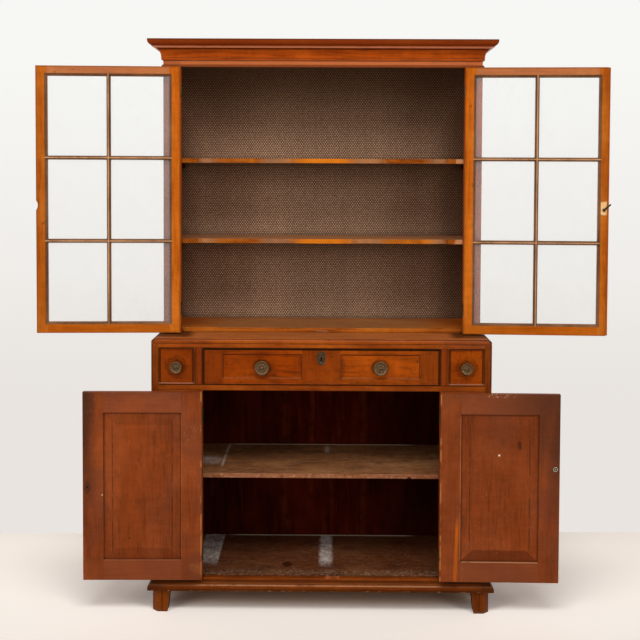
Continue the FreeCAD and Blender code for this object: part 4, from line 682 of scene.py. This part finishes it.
def drawer_stains(x, y, z, colour, coat, mottle):
    """Darker blocks, painted shade on the bevels and in the gaps, and smoky rings round the knobs."""
    aside = abs(x)
    field = x.within(SUNK_INNER, SUNK_OUTER, 0.002) * z.within(SUNK_FOOT + 0.004, SUNK_HEAD - BEVEL, 0.002)
    colour = layered(
        colour.scaled(1 + field * 0.22 + x.within(-0.17, -0.09, 0.03) * 0.2),
        (x.rise(0.0, 0.1) * 0.2, (160, 82, 20)),
    )
    blocks = drawer_blocks(x, y, z) * (0.15 + mottle * 0.4)
    ring = ((aside - MIDDLE_KNOB) ** 2 + (z - KNOB_LEVEL) ** 2) ** 0.5 + (mottle - 0.5) * 0.03
    # Painted shade on the sunk fields' side and top bevels.
    side_bevels = aside.within(SUNK_INNER, SUNK_INNER + BEVEL, 0.001)
    side_bevels = side_bevels.larger(aside.within(SUNK_OUTER - BEVEL, SUNK_OUTER, 0.001))
    top_bevel = z.within(SUNK_HEAD - 0.0055, SUNK_HEAD, 0.001) * aside.within(SUNK_INNER, SUNK_OUTER, 0.001)
    bevels = side_bevels.larger(top_bevel) * z.within(SUNK_FOOT, SUNK_HEAD, 0.001) * 0.6
    smoke = noise(x * 0.7, y, z * 1.3, 20.0, 4.0, 0.6).rise(0.5, 0.75) * 0.5
    smudges = noise(x, y, z, 58.0, 4.0, 0.65).rise(0.54, 0.7) * 0.45
    dark = drawer_edges(aside, z, MIDDLE_HALF).larger(ring.rise(0.036, 0.024) * 0.7).larger(bevels)
    dark = dark.larger(smoke).larger(smudges)
    # Painted shade, near black, in the gaps above, below and beside the drawer.
    gap = z.rise(DRAWER_HEAD - 0.0055, DRAWER_HEAD - 0.003)
    gap = gap.larger(z.rise(RAIL_HEAD + 0.002, RAIL_HEAD + 0.001) * 0.7)
    gap = gap.larger(aside.rise(MIDDLE_HALF - 0.0045, MIDDLE_HALF - 0.0025) * 0.7)
    # The bottom bevel is painted darker, in painted shade.
    low_bevel = z.within(SUNK_FOOT, SUNK_FOOT + 0.0055, 0.001)
    low_bevel = low_bevel * aside.within(SUNK_INNER + BEVEL, SUNK_OUTER - BEVEL, 0.002)
    field_side = aside.within(SUNK_INNER + 0.004, SUNK_INNER + 0.013, 0.003) * z.within(0.828, 0.9, 0.01)
    return layered(
        redder_left(x, colour),
        (blocks, (92, 36, 8)),
        (dark, (56, 18, 2)),
        (gap * 0.95, (16, 4, 1)),
        (low_bevel * 0.45, (92, 40, 14)),
        (field_side * mottle.rise(0.3, 0.6) * 0.5, (70, 26, 6)),
    ), coat + dark * 0.1


def plate_ghosts(x, y, z, colour, coat, mottle):
    """The dark outline of an eight-lobed plate that the small drawers once wore, with painted shade and a
    painted highlight at their edges.
    """
    across = (abs(x) - SMALL_KNOB) ** 2
    up = (z - KNOB_LEVEL) ** 2
    quarters = across * up / ((across + up) ** 2 + TINY) * 4
    lobes = quarters * (1 - quarters) * 4
    ring = (across + up) ** 0.5 + lobes * 0.006 + (mottle - 0.5) * 0.02
    outline = ring.within(0.035, 0.041, 0.003) * mottle.rise(0.36, 0.54) * 0.7
    ghost = outline.larger(ring.rise(0.038, 0.024) * (0.3 + mottle))
    # Painted shade along the drawer's top and sides.
    crevice_shade = drawer_edges(abs(abs(x) - SMALL_KNOB), z, SMALL_HALF)
    smudges = noise(x, y, z, 62.0, 4.0, 0.65).rise(0.54, 0.7) * 0.5
    # A painted highlight along the bead at the drawer's foot.
    foot_highlight = z.rise(RAIL_HEAD + 0.006, RAIL_HEAD + 0.0045) * z.rise(RAIL_HEAD, RAIL_HEAD + 0.0015)
    return layered(
        redder_left(x, colour).scaled(0.88),
        ((ghost * 0.85).larger(crevice_shade).larger(smudges), (56, 18, 2)),
        (foot_highlight * 0.3, (206, 148, 116)),
    ), coat


paint(wood("figured_middle", either(drawer_blocks, level, upright), FIGURED, rough=0.36,
           marks=drawer_stains), "middle_drawer_front")
paint(wood("figured_small", level, FIGURED, rough=0.36, marks=plate_ghosts),
      "left_drawer_front", "right_drawer_front")
paint(wood("raw_drawer", deep, RAW, rough=0.7, gloss=0.2, rub=0.3), "left_drawer_box", "middle_drawer_box",
      "right_drawer_box", "middle_drawer_bottom")
paint(metal("dark_iron", (110, 92, 76), (46, 36, 30), 0.55, 0.8, 0.4), "drawer_lock")


# Drawer knobs: pressed brass on a turned core, with a rolled rim, a dished face, a ring and a
# boss. The faces have gone a greenish brown, while rims, rings and bosses still shine.
old_brass = metal("old_brass", (178, 142, 104), (82, 59, 34), 0.45, 0.8, 0.25)


def turned(name, rings, across, along, up, finish, angle=0, segments=72):
    """A piece turned on a lathe, a disc drawn out ring by ring: a ring is its radius and how far
    it stands out, in millimetres. It faces the front, or is swung by an angle in degrees."""
    bpy.ops.object.select_all(action="DESELECT")
    first, start = rings[0]
    bpy.ops.mesh.primitive_circle_add(vertices=segments, radius=first / 1000, fill_type="NGON",
                                      location=(0, -start / 1000, 0), rotation=(math.pi / 2, 0, 0))
    piece = bpy.context.object
    piece.name = name
    bpy.ops.object.transform_apply(location=True, rotation=True, scale=True)
    bpy.ops.object.mode_set(mode="EDIT")
    bpy.ops.mesh.select_all(action="SELECT")
    for (radius, out), (wider, further) in zip(rings, rings[1:]):
        bpy.ops.mesh.extrude_region_move(TRANSFORM_OT_translate={"value": (0, (out - further) / 1000, 0)})
        bpy.ops.transform.resize(value=(wider / radius, 1, wider / radius),
                                 center_override=(0, -further / 1000, 0))
    bpy.ops.mesh.select_all(action="SELECT")
    bpy.ops.mesh.normals_make_consistent(inside=False)
    bpy.ops.object.mode_set(mode="OBJECT")
    bpy.ops.object.shade_smooth_by_angle(angle=math.radians(32))
    piece.data.transform(Matrix.Translation((across, along, up)) @ rotation(angle, "Z"))
    piece.data.materials.append(finish)
    return piece


def copied(piece, name, move):
    """The same piece again, with its own mesh, in another place."""
    other = piece.copy()
    other.data = piece.data.copy()
    other.name = name
    other.data.transform(Matrix.Translation(move))
    bpy.context.collection.objects.link(other)
    return other


def fixed(piece, body, slot, *replaced):
    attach(piece, body)
    if replaced:
        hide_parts(*replaced)


def knob_rings(share):
    """Rose, neck, rolled rim, dished face, ring and boss of a knob, for a share of its full width."""
    rings = [(20, 0), (20, 1.4), (18.5, 2.4), (9, 3), (6, 4), (5, 6.5), (5, 11), (8, 14), (15, 15.6),
             (23, 16.4), (24.6, 17), (25, 18.4), (24.6, 20), (23.4, 21), (21.8, 21.2), (20.8, 20.6),
             (20.4, 19.8), (18, 18.6), (14, 18.2), (12.6, 18.6), (12, 19.6), (11, 20.2), (9.6, 20),
             (8.8, 19.2), (8.2, 18.8), (6.4, 19.2), (5.8, 21), (4.2, 22.6), (2, 23.6), (0.4, 23.9)]
    return [(radius * share, out) for radius, out in rings]


middle_knob = turned("middle_knob_left", knob_rings(1), -MIDDLE_KNOB, FRONT, KNOB_LEVEL, old_brass)
fixed(middle_knob, "middle_drawer", "brass", "middle_drawer_knobs")
fixed(copied(middle_knob, "middle_knob_right", (2 * MIDDLE_KNOB, 0, 0)), "middle_drawer", "brass")
left_knob = turned("left_knob", knob_rings(0.84), -SMALL_KNOB, FRONT, KNOB_LEVEL, old_brass)
fixed(left_knob, "left_drawer", "brass", "left_drawer_knobs")
right_knob = copied(left_knob, "right_knob", (2 * SMALL_KNOB, 0, 0))
fixed(right_knob, "right_drawer", "brass", "right_drawer_knobs")


# Keyhole plate: an oval of thin brass with a raised rim, pinned over the lock's keyhole at the
# top and the bottom.
PLATE_LEVEL = 0.8945
PLATE_WIDE = 15.5
PLATE_HIGH = 25
SLOT_LONG = 0.013
PIN_RISE = 0.018
plate_brass = metal("plate_brass", (172, 142, 112), (60, 44, 28), 0.5, 0.8, 0.12)


def keyhole_plate():
    """A disc drawn into an oval, with the keyhole cut through it."""
    rings = [(PLATE_WIDE, 0), (PLATE_WIDE, 0.8), (15, 1.4), (14.2, 1.6), (13.4, 1.3), (13, 0.8), (6, 0.7)]
    plate = turned("keyhole_plate_dressed", rings, 0, 0, 0, plate_brass)
    bpy.ops.object.mode_set(mode="EDIT")
    bpy.ops.mesh.select_all(action="SELECT")
    bpy.ops.transform.resize(value=(1, 1, PLATE_HIGH / PLATE_WIDE), center_override=(0, 0, 0))
    bpy.ops.object.mode_set(mode="OBJECT")
    plate.data.transform(Matrix.Translation((0, FRONT, PLATE_LEVEL)))
    bpy.ops.mesh.primitive_cylinder_add(vertices=32, radius=0.0043, depth=0.02, rotation=(math.pi / 2, 0, 0),
                                        location=(0, FRONT, PLATE_LEVEL))
    eye_cutter = bpy.context.object
    bpy.ops.mesh.primitive_cube_add(size=1, scale=(0.005, 0.02, SLOT_LONG),
                                    location=(0, FRONT, PLATE_LEVEL - SLOT_LONG / 2))
    slot_cutter = bpy.context.object
    for cutter in (eye_cutter, slot_cutter):
        bpy.context.view_layer.objects.active = plate
        hole = plate.modifiers.new("hole", "BOOLEAN")
        hole.object = cutter
        hole.operation = "DIFFERENCE"
        bpy.ops.object.modifier_apply(modifier=hole.name)
        bpy.data.objects.remove(cutter)
    return plate


fixed(keyhole_plate(), "middle_drawer", "brass", "keyhole_plate")
pin_rings = [(1.3, 0), (1.3, 0.2), (1.0, 0.5), (0.3, 0.65)]
top_pin = turned("plate_pin_top", pin_rings, 0, FRONT - 0.0007, PLATE_LEVEL + PIN_RISE, old_brass,
                 segments=16)
fixed(top_pin, "middle_drawer", "brass")
fixed(copied(top_pin, "plate_pin_bottom", (0, 0, -2 * PIN_RISE)), "middle_drawer", "brass")


# Lower doors: tenoned frames round fielded panels, hung wide open so that their inner faces
# show. These were only oiled: brick-brown, darker and greasy along the free edges, with small
# holes, scratches, a filled streak and a worm-eaten knot.
RUSSET = Tones((140, 68, 32), (122, 54, 22), (100, 42, 15), (184, 116, 80))
DOOR_MIDDLE = 0.6175
PANEL_HALF = 0.1345
RISE_HALF = 0.103
STILE_LINE = DOOR_MIDDLE - PANEL_HALF
FREE_STILE_LINE = DOOR_MIDDLE + PANEL_HALF
FREE_EDGE = 0.823
LOW_RAIL_TOP = 0.1945
HIGH_RAIL_FOOT = 0.7085
PULL_LEVEL = 0.5207
LOWER_FACES = (0.412, 0.018, -0.2335)
door_rails = rails_between(DOOR_MIDDLE, PANEL_HALF)


def outer_face(x, y, marked, plain, hinge_line, slope, middle):
    """The marked colour inside an open door, and a cleaner, varnished one on its other face."""
    behind = y + (abs(x) - hinge_line) * slope
    return behind.rise(middle - 0.001, middle + 0.001).mix(marked, plain.scaled(1.12))


def shoulder_lines(x, middle, half):
    """1 along the joints between a door's stiles and its rails."""
    return abs(abs(x) - middle).within(half - 0.0003, half + 0.0003, 0.0003)


def clouded(x, y, z, colour, share, warm, brown):
    """Wood that was only oiled, with warmer and browner clouds."""
    clouds = noise(x, y, z * 0.6, 7.0, 3.0, 0.6)
    return layered(colour, (clouds.rise(0.52, 0.68) * share, warm), (clouds.rise(0.48, 0.34) * 0.4, brown))


def door_marks(x, y, z, colour, coat, mottle):
    """Grease, holes, scratches and painted highlights on the arrises of both lower doors' inner faces."""
    plain = layered(colour, (0.35, AMBER.middle))
    aside = abs(x)
    ragged = (mottle - 0.5) * 0.09
    edge = (aside + ragged * 0.5).rise(FREE_EDGE - 0.06, FREE_EDGE - 0.01)
    grease = edge * (z + ragged * 2).rise(0.25, 0.65) * 0.85
    top = (z + ragged).rise(0.735, 0.79) * 0.35
    hole = spot(x, z, -0.8074, 0.447, 0.015, 2.0) * 0.8
    nut = spot(x, z, 0.8072, PULL_LEVEL, 0.015) * 0.9
    corner = x.rise(0.55, 0.8) * (z + ragged * 3).rise(0.45, 0.78) * 0.85
    leaning = x + ragged * 0.05 - (z - 0.2) * 0.03
    streak = leaning.within(0.4625, 0.4735, 0.0035) * (z + ragged).within(0.12, 0.335, 0.03)
    dusting = noise(x, y, z, 190.0, 4.0, 0.7).rise(0.6, 0.72) * 0.22
    chipped = (aside + ragged * 0.04).rise(0.4185, 0.415) * (mottle + ragged).rise(0.45, 0.55)
    burr = spot(x + ragged, z, -0.425, 0.145, 0.045) * mottle.rise(0.4, 0.7) * 0.25
    # Painted highlights along the arris at the panel's foot and beside the stile.
    lower_arris = z.within(LOW_RAIL_TOP - 0.002, LOW_RAIL_TOP, 0.0003)
    lower_arris = lower_arris * aside.within(STILE_LINE + 0.004, FREE_STILE_LINE - 0.003, 0.002)
    side_arris = aside.within(STILE_LINE - 0.0025, STILE_LINE, 0.0003) * z.within(0.2, 0.7, 0.01) * 0.3
    arrises = lower_arris.larger(side_arris) * mottle.rise(0.25, 0.45) * (0.2 + x.rise(-0.1, 0.1) * 0.65)
    older = x.rise(0.4, 0.5) * (z + ragged * 2).rise(0.35, 0.75).larger(z.rise(0.3, 0.2))
    older = older.larger(x.rise(0.1, -0.1) * z.rise(0.21, 0.2) * 0.8) * 0.3
    specks = noise(x, y, z, 260.0, 2.0).rise(0.58, 0.66) * spot(x, z, 0.62, 0.776, 0.06)
    specks = specks * z.rise(0.762, 0.772) * 0.8
    scuff = noise(x, y, z * 0.6, 200.0, 3.0).rise(0.6, 0.7) * spot(x, z, -0.455, 0.636, 0.03) * 0.6
    dab = spot(x, z, -0.7554, 0.4213, 0.004) * 0.6
    colour = layered(
        clouded(x, y, z, colour, 0.35, (150, 66, 18), (96, 50, 36)),
        (door_rails(x, y, z) * 0.4, (134, 72, 48)),
        (grease.larger(top).larger(hole).larger(nut).larger(corner), (56, 30, 22)),
        (streak * 0.7, (190, 90, 12)),
        (dusting, (200, 130, 90)),
        ((chipped * 0.6).larger(burr), (186, 118, 62)),
        (arrises, (214, 160, 116)),
        (older, (92, 48, 28)),
        (shoulder_lines(x, DOOR_MIDDLE, PANEL_HALF) * 0.5, (60, 24, 12)),
        (specks.larger(scuff).larger(dab), (222, 168, 128)),
    )
    return outer_face(x, y, colour, plain, *LOWER_FACES), coat - grease * 0.1


def panel_marks(x, y, z, colour, coat, mottle):
    """Dark lines at the rise of the field, a pale dot, a dark knot and two worm holes."""
    plain = layered(colour, (0.35, AMBER.middle))
    ragged = (mottle - 0.5) * 0.006
    rise_line = abs(abs(x) + ragged - DOOR_MIDDLE).within(RISE_HALF - 0.002, RISE_HALF + 0.002, 0.0015)
    lines = rise_line * z.within(0.22, 0.68, 0.02) * mottle.rise(0.35, 0.55) * 0.7
    knot = spot(x + ragged * 2, z, 0.6856, 0.6034, 0.008, 2.5) * 0.8
    blotches = noise(x, y, z * 0.4, 34.0, 3.0).rise(0.55, 0.8) * 0.35
    holes = spot(x, z, -0.6687, 0.4202, 0.0025).larger(spot(x, z, -0.6629, 0.2705, 0.003))
    from_side = PANEL_HALF - abs(abs(x) - DOOR_MIDDLE)
    foot_bevel = (from_side - z + LOW_RAIL_TOP).rise(0.0, 0.002) * (z + ragged).rise(0.238, 0.234)
    foot_bevel = foot_bevel * (0.25 + x.rise(-0.1, 0.1) * 0.3)
    head_bevel = (from_side + z - HIGH_RAIL_FOOT).rise(0.0, 0.002) * (z + ragged).rise(0.664, 0.668) * 0.3
    older = x.rise(0.4, 0.5) * (z + ragged * 8).rise(0.3, 0.7) * 0.3
    dusting = noise(x, y, z * 0.6, 190.0, 4.0, 0.7).rise(0.6, 0.72) * 0.25
    colour = layered(
        clouded(x, y, z, colour, 0.3, (146, 64, 18), (96, 50, 34)),
        (lines.larger(knot).larger(blotches).larger(holes), (52, 22, 14)),
        (foot_bevel.larger(head_bevel).larger(older), (70, 26, 12)),
        (dusting, (190, 124, 82)),
        (spot(x, z, 0.6145, 0.5668, 0.0042), (238, 206, 184)),
    )
    return outer_face(x, y, colour, plain, *LOWER_FACES), coat


paint(wood("russet_frames", either(door_rails, upright, level), RUSSET, rough=0.55, rub=0.45,
           crevice_shade=0.3, marks=door_marks), "lower_left_door_frame", "lower_right_door_frame")
paint(wood("russet_panels", upright, RUSSET, rough=0.55, rub=0.3, crevice_shade=0.35, marks=panel_marks),
      "lower_left_door_panel", "lower_right_door_panel")


# Knob of the lower right door: a plain turned pull on the outer face, its screw passing through
# the stile to a ring nut on the inner one.
pull_rings = [(12, 0), (12, 1.4), (10.6, 2.2), (6, 2.8), (4.6, 5), (4.6, 9), (7, 11.5), (12, 13.4),
              (14.4, 15.4), (15, 17.4), (14, 19.6), (11, 21.2), (6, 21.9), (0.5, 22)]
nut_rings = [(8.5, 0), (8.5, 1.8), (7.8, 2.6), (6.8, 2.8), (5.8, 2.4), (5.4, 1.4), (5.2, 0.6), (0.3, 0.6)]
screw_rings = [(5.2, 0.65), (5.2, 0.8), (2.6, 0.85), (2.4, 1.4), (0.3, 1.5)]
tip_rings = [(2.1, 1.3), (2.1, 2.1), (1.7, 2.5), (0.3, 2.6)]
LOWER_SWING = -1
NUT_PLACE = (0.80725, -0.2512, PULL_LEVEL)
lever_brass = metal("lever_brass", (112, 102, 86), (42, 32, 20), 0.5, 0.8, 0.2)
rubbed_brass = metal("rubbed_brass", (214, 204, 184), (150, 138, 116), 0.4, 0.75, 0.5)
door_pull = turned("lower_door_pull", pull_rings, 0.8076, -0.2292, PULL_LEVEL, old_brass,
                   angle=180 + LOWER_SWING)
fixed(door_pull, "lower_right_door", "brass", "lower_right_door_knob")
for name, rings, finish, segments in (("ring_nut", nut_rings, rubbed_brass, 48),
                                      ("ring_nut_screw", screw_rings, lever_brass, 40),
                                      ("ring_nut_tip", tip_rings, rubbed_brass, 40)):
    piece = turned(name, rings, *NUT_PLACE, finish, angle=LOWER_SWING, segments=segments)
    fixed(piece, "lower_right_door", "brass")


# Upper doors: light orange frames with half-lapped meeting stiles. Thin brown bars and a putty
# fillet hold six panes of old, slightly uneven glass in each. Round the latch the varnish is
# worn to bare wood.
ORANGE = Tones((204, 112, 32), (180, 90, 16), (148, 66, 6), (220, 150, 92))
BAR_BROWN = Tones((198, 148, 106), (172, 126, 90), (130, 90, 60), (214, 164, 120))
PUTTY_BROWN = Tones((136, 96, 66), (114, 78, 52), (84, 54, 34), (150, 104, 70))
SASH_MIDDLE = 0.7575
SASH_HALF = 0.2145
LATCH_LEVEL = 1.4099
NOTCH = (-1.0105, 1.4194)
sash_rails = rails_between(SASH_MIDDLE, SASH_HALF)


def latch_wear(x, y, z, colour, coat, mottle):
    """Bare wood round the latch, a worn notch opposite, dark shoulders and pinker top rails."""
    plain = layered(colour, (0.2, HONEY.middle))
    rails = sash_rails(x, y, z)
    uneven = mottle - 0.5
    colour = layered(colour, (rails * z.rise(1.87, 1.876) * 0.55, (152, 102, 74)))
    across = (abs(abs(x) - SASH_MIDDLE) + uneven * 0.006).rise(0.2475, 0.251)
    outer = across.larger((z + uneven * 0.006).rise(1.9045, 1.908)).larger(z.rise(0.9695, 0.967))
    dents = noise(x, y, z, 46.0, 1.0, 0.4).rise(0.74, 0.78)
    ragged = uneven * 0.012
    patch = (x + ragged).within(0.9787, 1.0033, 0.003) * (z + ragged).within(1.394, 1.4387, 0.004)
    rim = (x + ragged).within(0.976, 1.006, 0.002) * (z + ragged).within(1.3905, 1.442, 0.003) * 0.5
    colour = layered(
        colour.scaled(1 - (abs(x) + uneven * 0.02).rise(0.96, 1.0) * 0.25),
        (rails * z.rise(1.02, 1.01) * 0.35, (150, 68, 2)),
        (outer * 0.45, (96, 40, 8)),
        (dents * 0.6, (90, 38, 8)),
        (rim, (110, 50, 10)),
        (patch * 0.9, (230, 182, 122)),
        (spot(x, z, *NOTCH, 0.0125, 2.0) * 0.7, (74, 34, 12)),
        (spot(x, z, *NOTCH, 0.008, 2.2) * 0.85, (236, 206, 170)),
        (shoulder_lines(x, SASH_MIDDLE, SASH_HALF) * 0.45, (88, 40, 12)),
    )
    return outer_face(x, y, colour, plain, 0.504, 0.0532, -0.089), coat + patch * 0.2


paint(wood("orange_sash", either(sash_rails, upright, level), ORANGE, rough=0.4, rub=0.4, crevice_shade=0.6,
           marks=latch_wear), "upper_left_door_frame", "upper_right_door_frame")
paint(wood("brown_bars", upright, BAR_BROWN, rough=0.5, rub=0.8, crevice_shade=0.4), "upper_left_door_bars",
      "upper_right_door_bars")
paint(wood("brown_putty", upright, PUTTY_BROWN, rough=0.65, rub=0.2, crevice_shade=0.5), "upper_left_door_putty",
      "upper_right_door_putty")


def old_glass():
    """Thin glass with a faint tint, drawn slightly uneven, and dusty in places."""
    finish, shader, (x, y, z) = new_finish("old_glass")
    waves = noise(x, y, z * 0.5, 9.0, 1.0)
    dust = noise(x, y, z, 9.0, 3.0)
    give(shader, "Base Color", swatch(216, 218, 216))
    give(shader, "Alpha", 0.08 + dust * 0.07)
    give(shader, "Roughness", 0.03 + dust * 0.06)
    relief(shader, waves, 0.05, 0.002)
    return finish


paint(old_glass(), "upper_left_door_panes", "upper_right_door_panes")


# Latch of the right upper door: a brass knob outside, a spindle through the stile, and on the
# inner face a small tapered lever that turns behind the other door's edge.
LEVER_LONG = 0.031
LEVER_OUT = 0.0021


def latch_lever():
    """A bar tapered to its tip, with its edges rounded over."""
    bpy.ops.object.select_all(action="DESELECT")
    bpy.ops.mesh.primitive_cube_add(size=1, scale=(LEVER_LONG, 0.003, 0.0115),
                                    location=(LEVER_LONG / 2, -LEVER_OUT, 0))
    lever = bpy.context.object
    lever.name = "latch_lever"
    bpy.ops.object.transform_apply(location=True, rotation=True, scale=True)
    for face in lever.data.polygons:
        face.select = face.normal.x > 0.9
    bpy.ops.object.mode_set(mode="EDIT")
    bpy.ops.mesh.select_mode(type="FACE")
    bpy.ops.transform.resize(value=(1, 0.8, 0.5), center_override=(LEVER_LONG, -LEVER_OUT, 0))
    bpy.ops.mesh.select_all(action="SELECT")
    bpy.ops.mesh.bevel(offset=0.0009, segments=3, affect="EDGES")
    bpy.ops.object.mode_set(mode="OBJECT")
    bpy.ops.object.shade_smooth_by_angle(angle=math.radians(35))
    lever.data.materials.append(lever_brass)
    return lever


LATCH_SWING = -3
LATCH_TILT = -41
LATCH_INSIDE = (0.99151, -0.12584, LATCH_LEVEL)
LATCH_OUTSIDE = (0.99266, -0.10387, LATCH_LEVEL)
latch_head_rings = [(4, -20), (4, 0.6), (9.6, 0.6), (9.6, 2), (8.4, 2.9), (5.2, 3.4), (4.2, 6), (4.4, 9),
                    (7, 11.6), (10.4, 13.6), (12, 16.4), (11.4, 19.4), (8.4, 22), (4, 22.8), (0.4, 23)]
latch_boss_rings = [(4, -1), (4, 0.6), (5.4, 0.6), (5.4, 3.8), (4.8, 4.4), (3, 4.6), (2.6, 4.2), (0.3, 4.2)]
lever = latch_lever()
turned_up = rotation(LATCH_SWING, "Z") @ rotation(LATCH_TILT, "Y")
lever.data.transform(Matrix.Translation(LATCH_INSIDE) @ turned_up)
fixed(lever, "door_latch", "brass", "upper_right_door_latch")
fixed(turned("latch_boss", latch_boss_rings, *LATCH_INSIDE, lever_brass, angle=LATCH_SWING, segments=40),
      "door_latch", "brass")
fixed(turned("latch_knob", latch_head_rings, *LATCH_OUTSIDE, old_brass, angle=180 + LATCH_SWING),
      "door_latch", "brass")


# Studio: a pale floor that runs back to a paler wall, two large soft lamps in front, one
# overhead, and a little light from all round.
WALL = FRONT + 0.867
bpy.ops.object.select_all(action="DESELECT")
bpy.ops.mesh.primitive_plane_add(size=24, location=(0, 0, 0))
floor = bpy.context.object
floor.name = "floor"


def ray(value, kind):
    """1 for one kind of ray."""
    return value.node("LightPath", {}, {}, f"Is {kind} Ray")


def stage_floor():
    """A matt floor that the camera sees paler than it lights the object, and a wall beyond it."""
    finish, shader, (x, y, z) = new_finish("pale_floor")
    tree = finish.node_tree
    pale = y.rise(-0.9, WALL).mix((1.07, 1.0, 0.93, 1.0), (1.57, 1.45, 1.33, 1.0))
    # Under the case the floor is painted a warm dark brown: a painted shadow, tinted as light bounced off the
    # wood would tint it.
    under = abs(x).rise(0.62, 0.5) * y.rise(-0.2, -0.06) * y.rise(0.33, 0.27) * 0.78
    pale = ray(x, "Camera").mix(swatch(236, 228, 218), under.mix(pale, (0.82, 0.5, 0.28, 1.0)))
    ground = x.node("BsdfDiffuse", {}, {"Color": pale})
    haze = y.rise(2.5, 12.0).mix(swatch(233, 228, 224), swatch(239, 236, 232))
    wall = x.node("Emission", {}, {"Color": haze})
    beyond = (y - x * 0.027).rise(WALL - 0.006, WALL + 0.006)
    shown = x.node("MixShader", {}, {0: beyond, 1: ground, 2: wall})
    tree.links.new(shown.socket, tree.nodes["Material Output"].inputs["Surface"])
    tree.nodes.remove(shader)
    return finish


floor.data.materials.append(stage_floor())

world = bpy.data.worlds.new("studio")
bpy.context.scene.world = world
world.use_nodes = True
world.node_tree.nodes.clear()
sky = Value(world.node_tree)
seen = ray(sky, "Camera").larger(ray(sky, "Glossy")).larger(ray(sky, "Transmission"))
height = sky.node("SeparateXYZ", {}, {0: sky.node("TexCoord", {}, {}, "Generated")}, "Z")
wall_tone = height.rise(-0.14, 0.14).mix(swatch(239, 236, 232), swatch(247, 247, 244))
pale = sky.node("Background", {}, {"Color": wall_tone, "Strength": 1.0})
glow = sky.node("Background", {}, {"Color": (1.0, 0.99, 0.97, 1.0), "Strength": 0.24})
whole_sky = sky.node("MixShader", {}, {0: seen, 1: glow, 2: pale})
output = world.node_tree.nodes.new("ShaderNodeOutputWorld")
world.node_tree.links.new(whole_sky.socket, output.inputs["Surface"])


def lamp(name, place, aim, wide, high, power):
    """A soft rectangular lamp that looks at a point."""
    light = bpy.data.lights.new(name, "AREA")
    light.shape = "RECTANGLE"
    light.size = wide
    light.size_y = high
    light.energy = power
    holder = bpy.data.objects.new(name, light)
    bpy.context.scene.collection.objects.link(holder)
    holder.location = place
    holder.rotation_euler = (Vector(aim) - Vector(place)).to_track_quat("-Z", "Y").to_euler()


MIDDLE = (0, 0, 1.0)
lamp("key", (-3.7, -4.0, 2.4), MIDDLE, 2.0, 2.6, 101)
lamp("fill", (3.7, -4.0, 2.4), MIDDLE, 2.0, 2.6, 82)
lamp("overhead", (0, -3.2, 4.4), MIDDLE, 3.2, 1.4, 112)


# Camera: level with the upper shelves, almost square on, as the photographer stood.
camera = bpy.data.cameras.new("camera")
camera.sensor_width = 36
camera.lens = 62.41
camera.shift_y = -0.1558
eye = bpy.data.objects.new("camera", camera)
bpy.context.scene.collection.objects.link(eye)
turn = rotation(0.49, "Z") @ rotation(87.61, "X") @ rotation(0.24, "Z")
eye.matrix_world = Matrix.Translation((0.026, FRONT - 3.82, 1.533)) @ turn
bpy.context.scene.camera = eye
bpy.context.scene.view_settings.view_transform = "Standard"
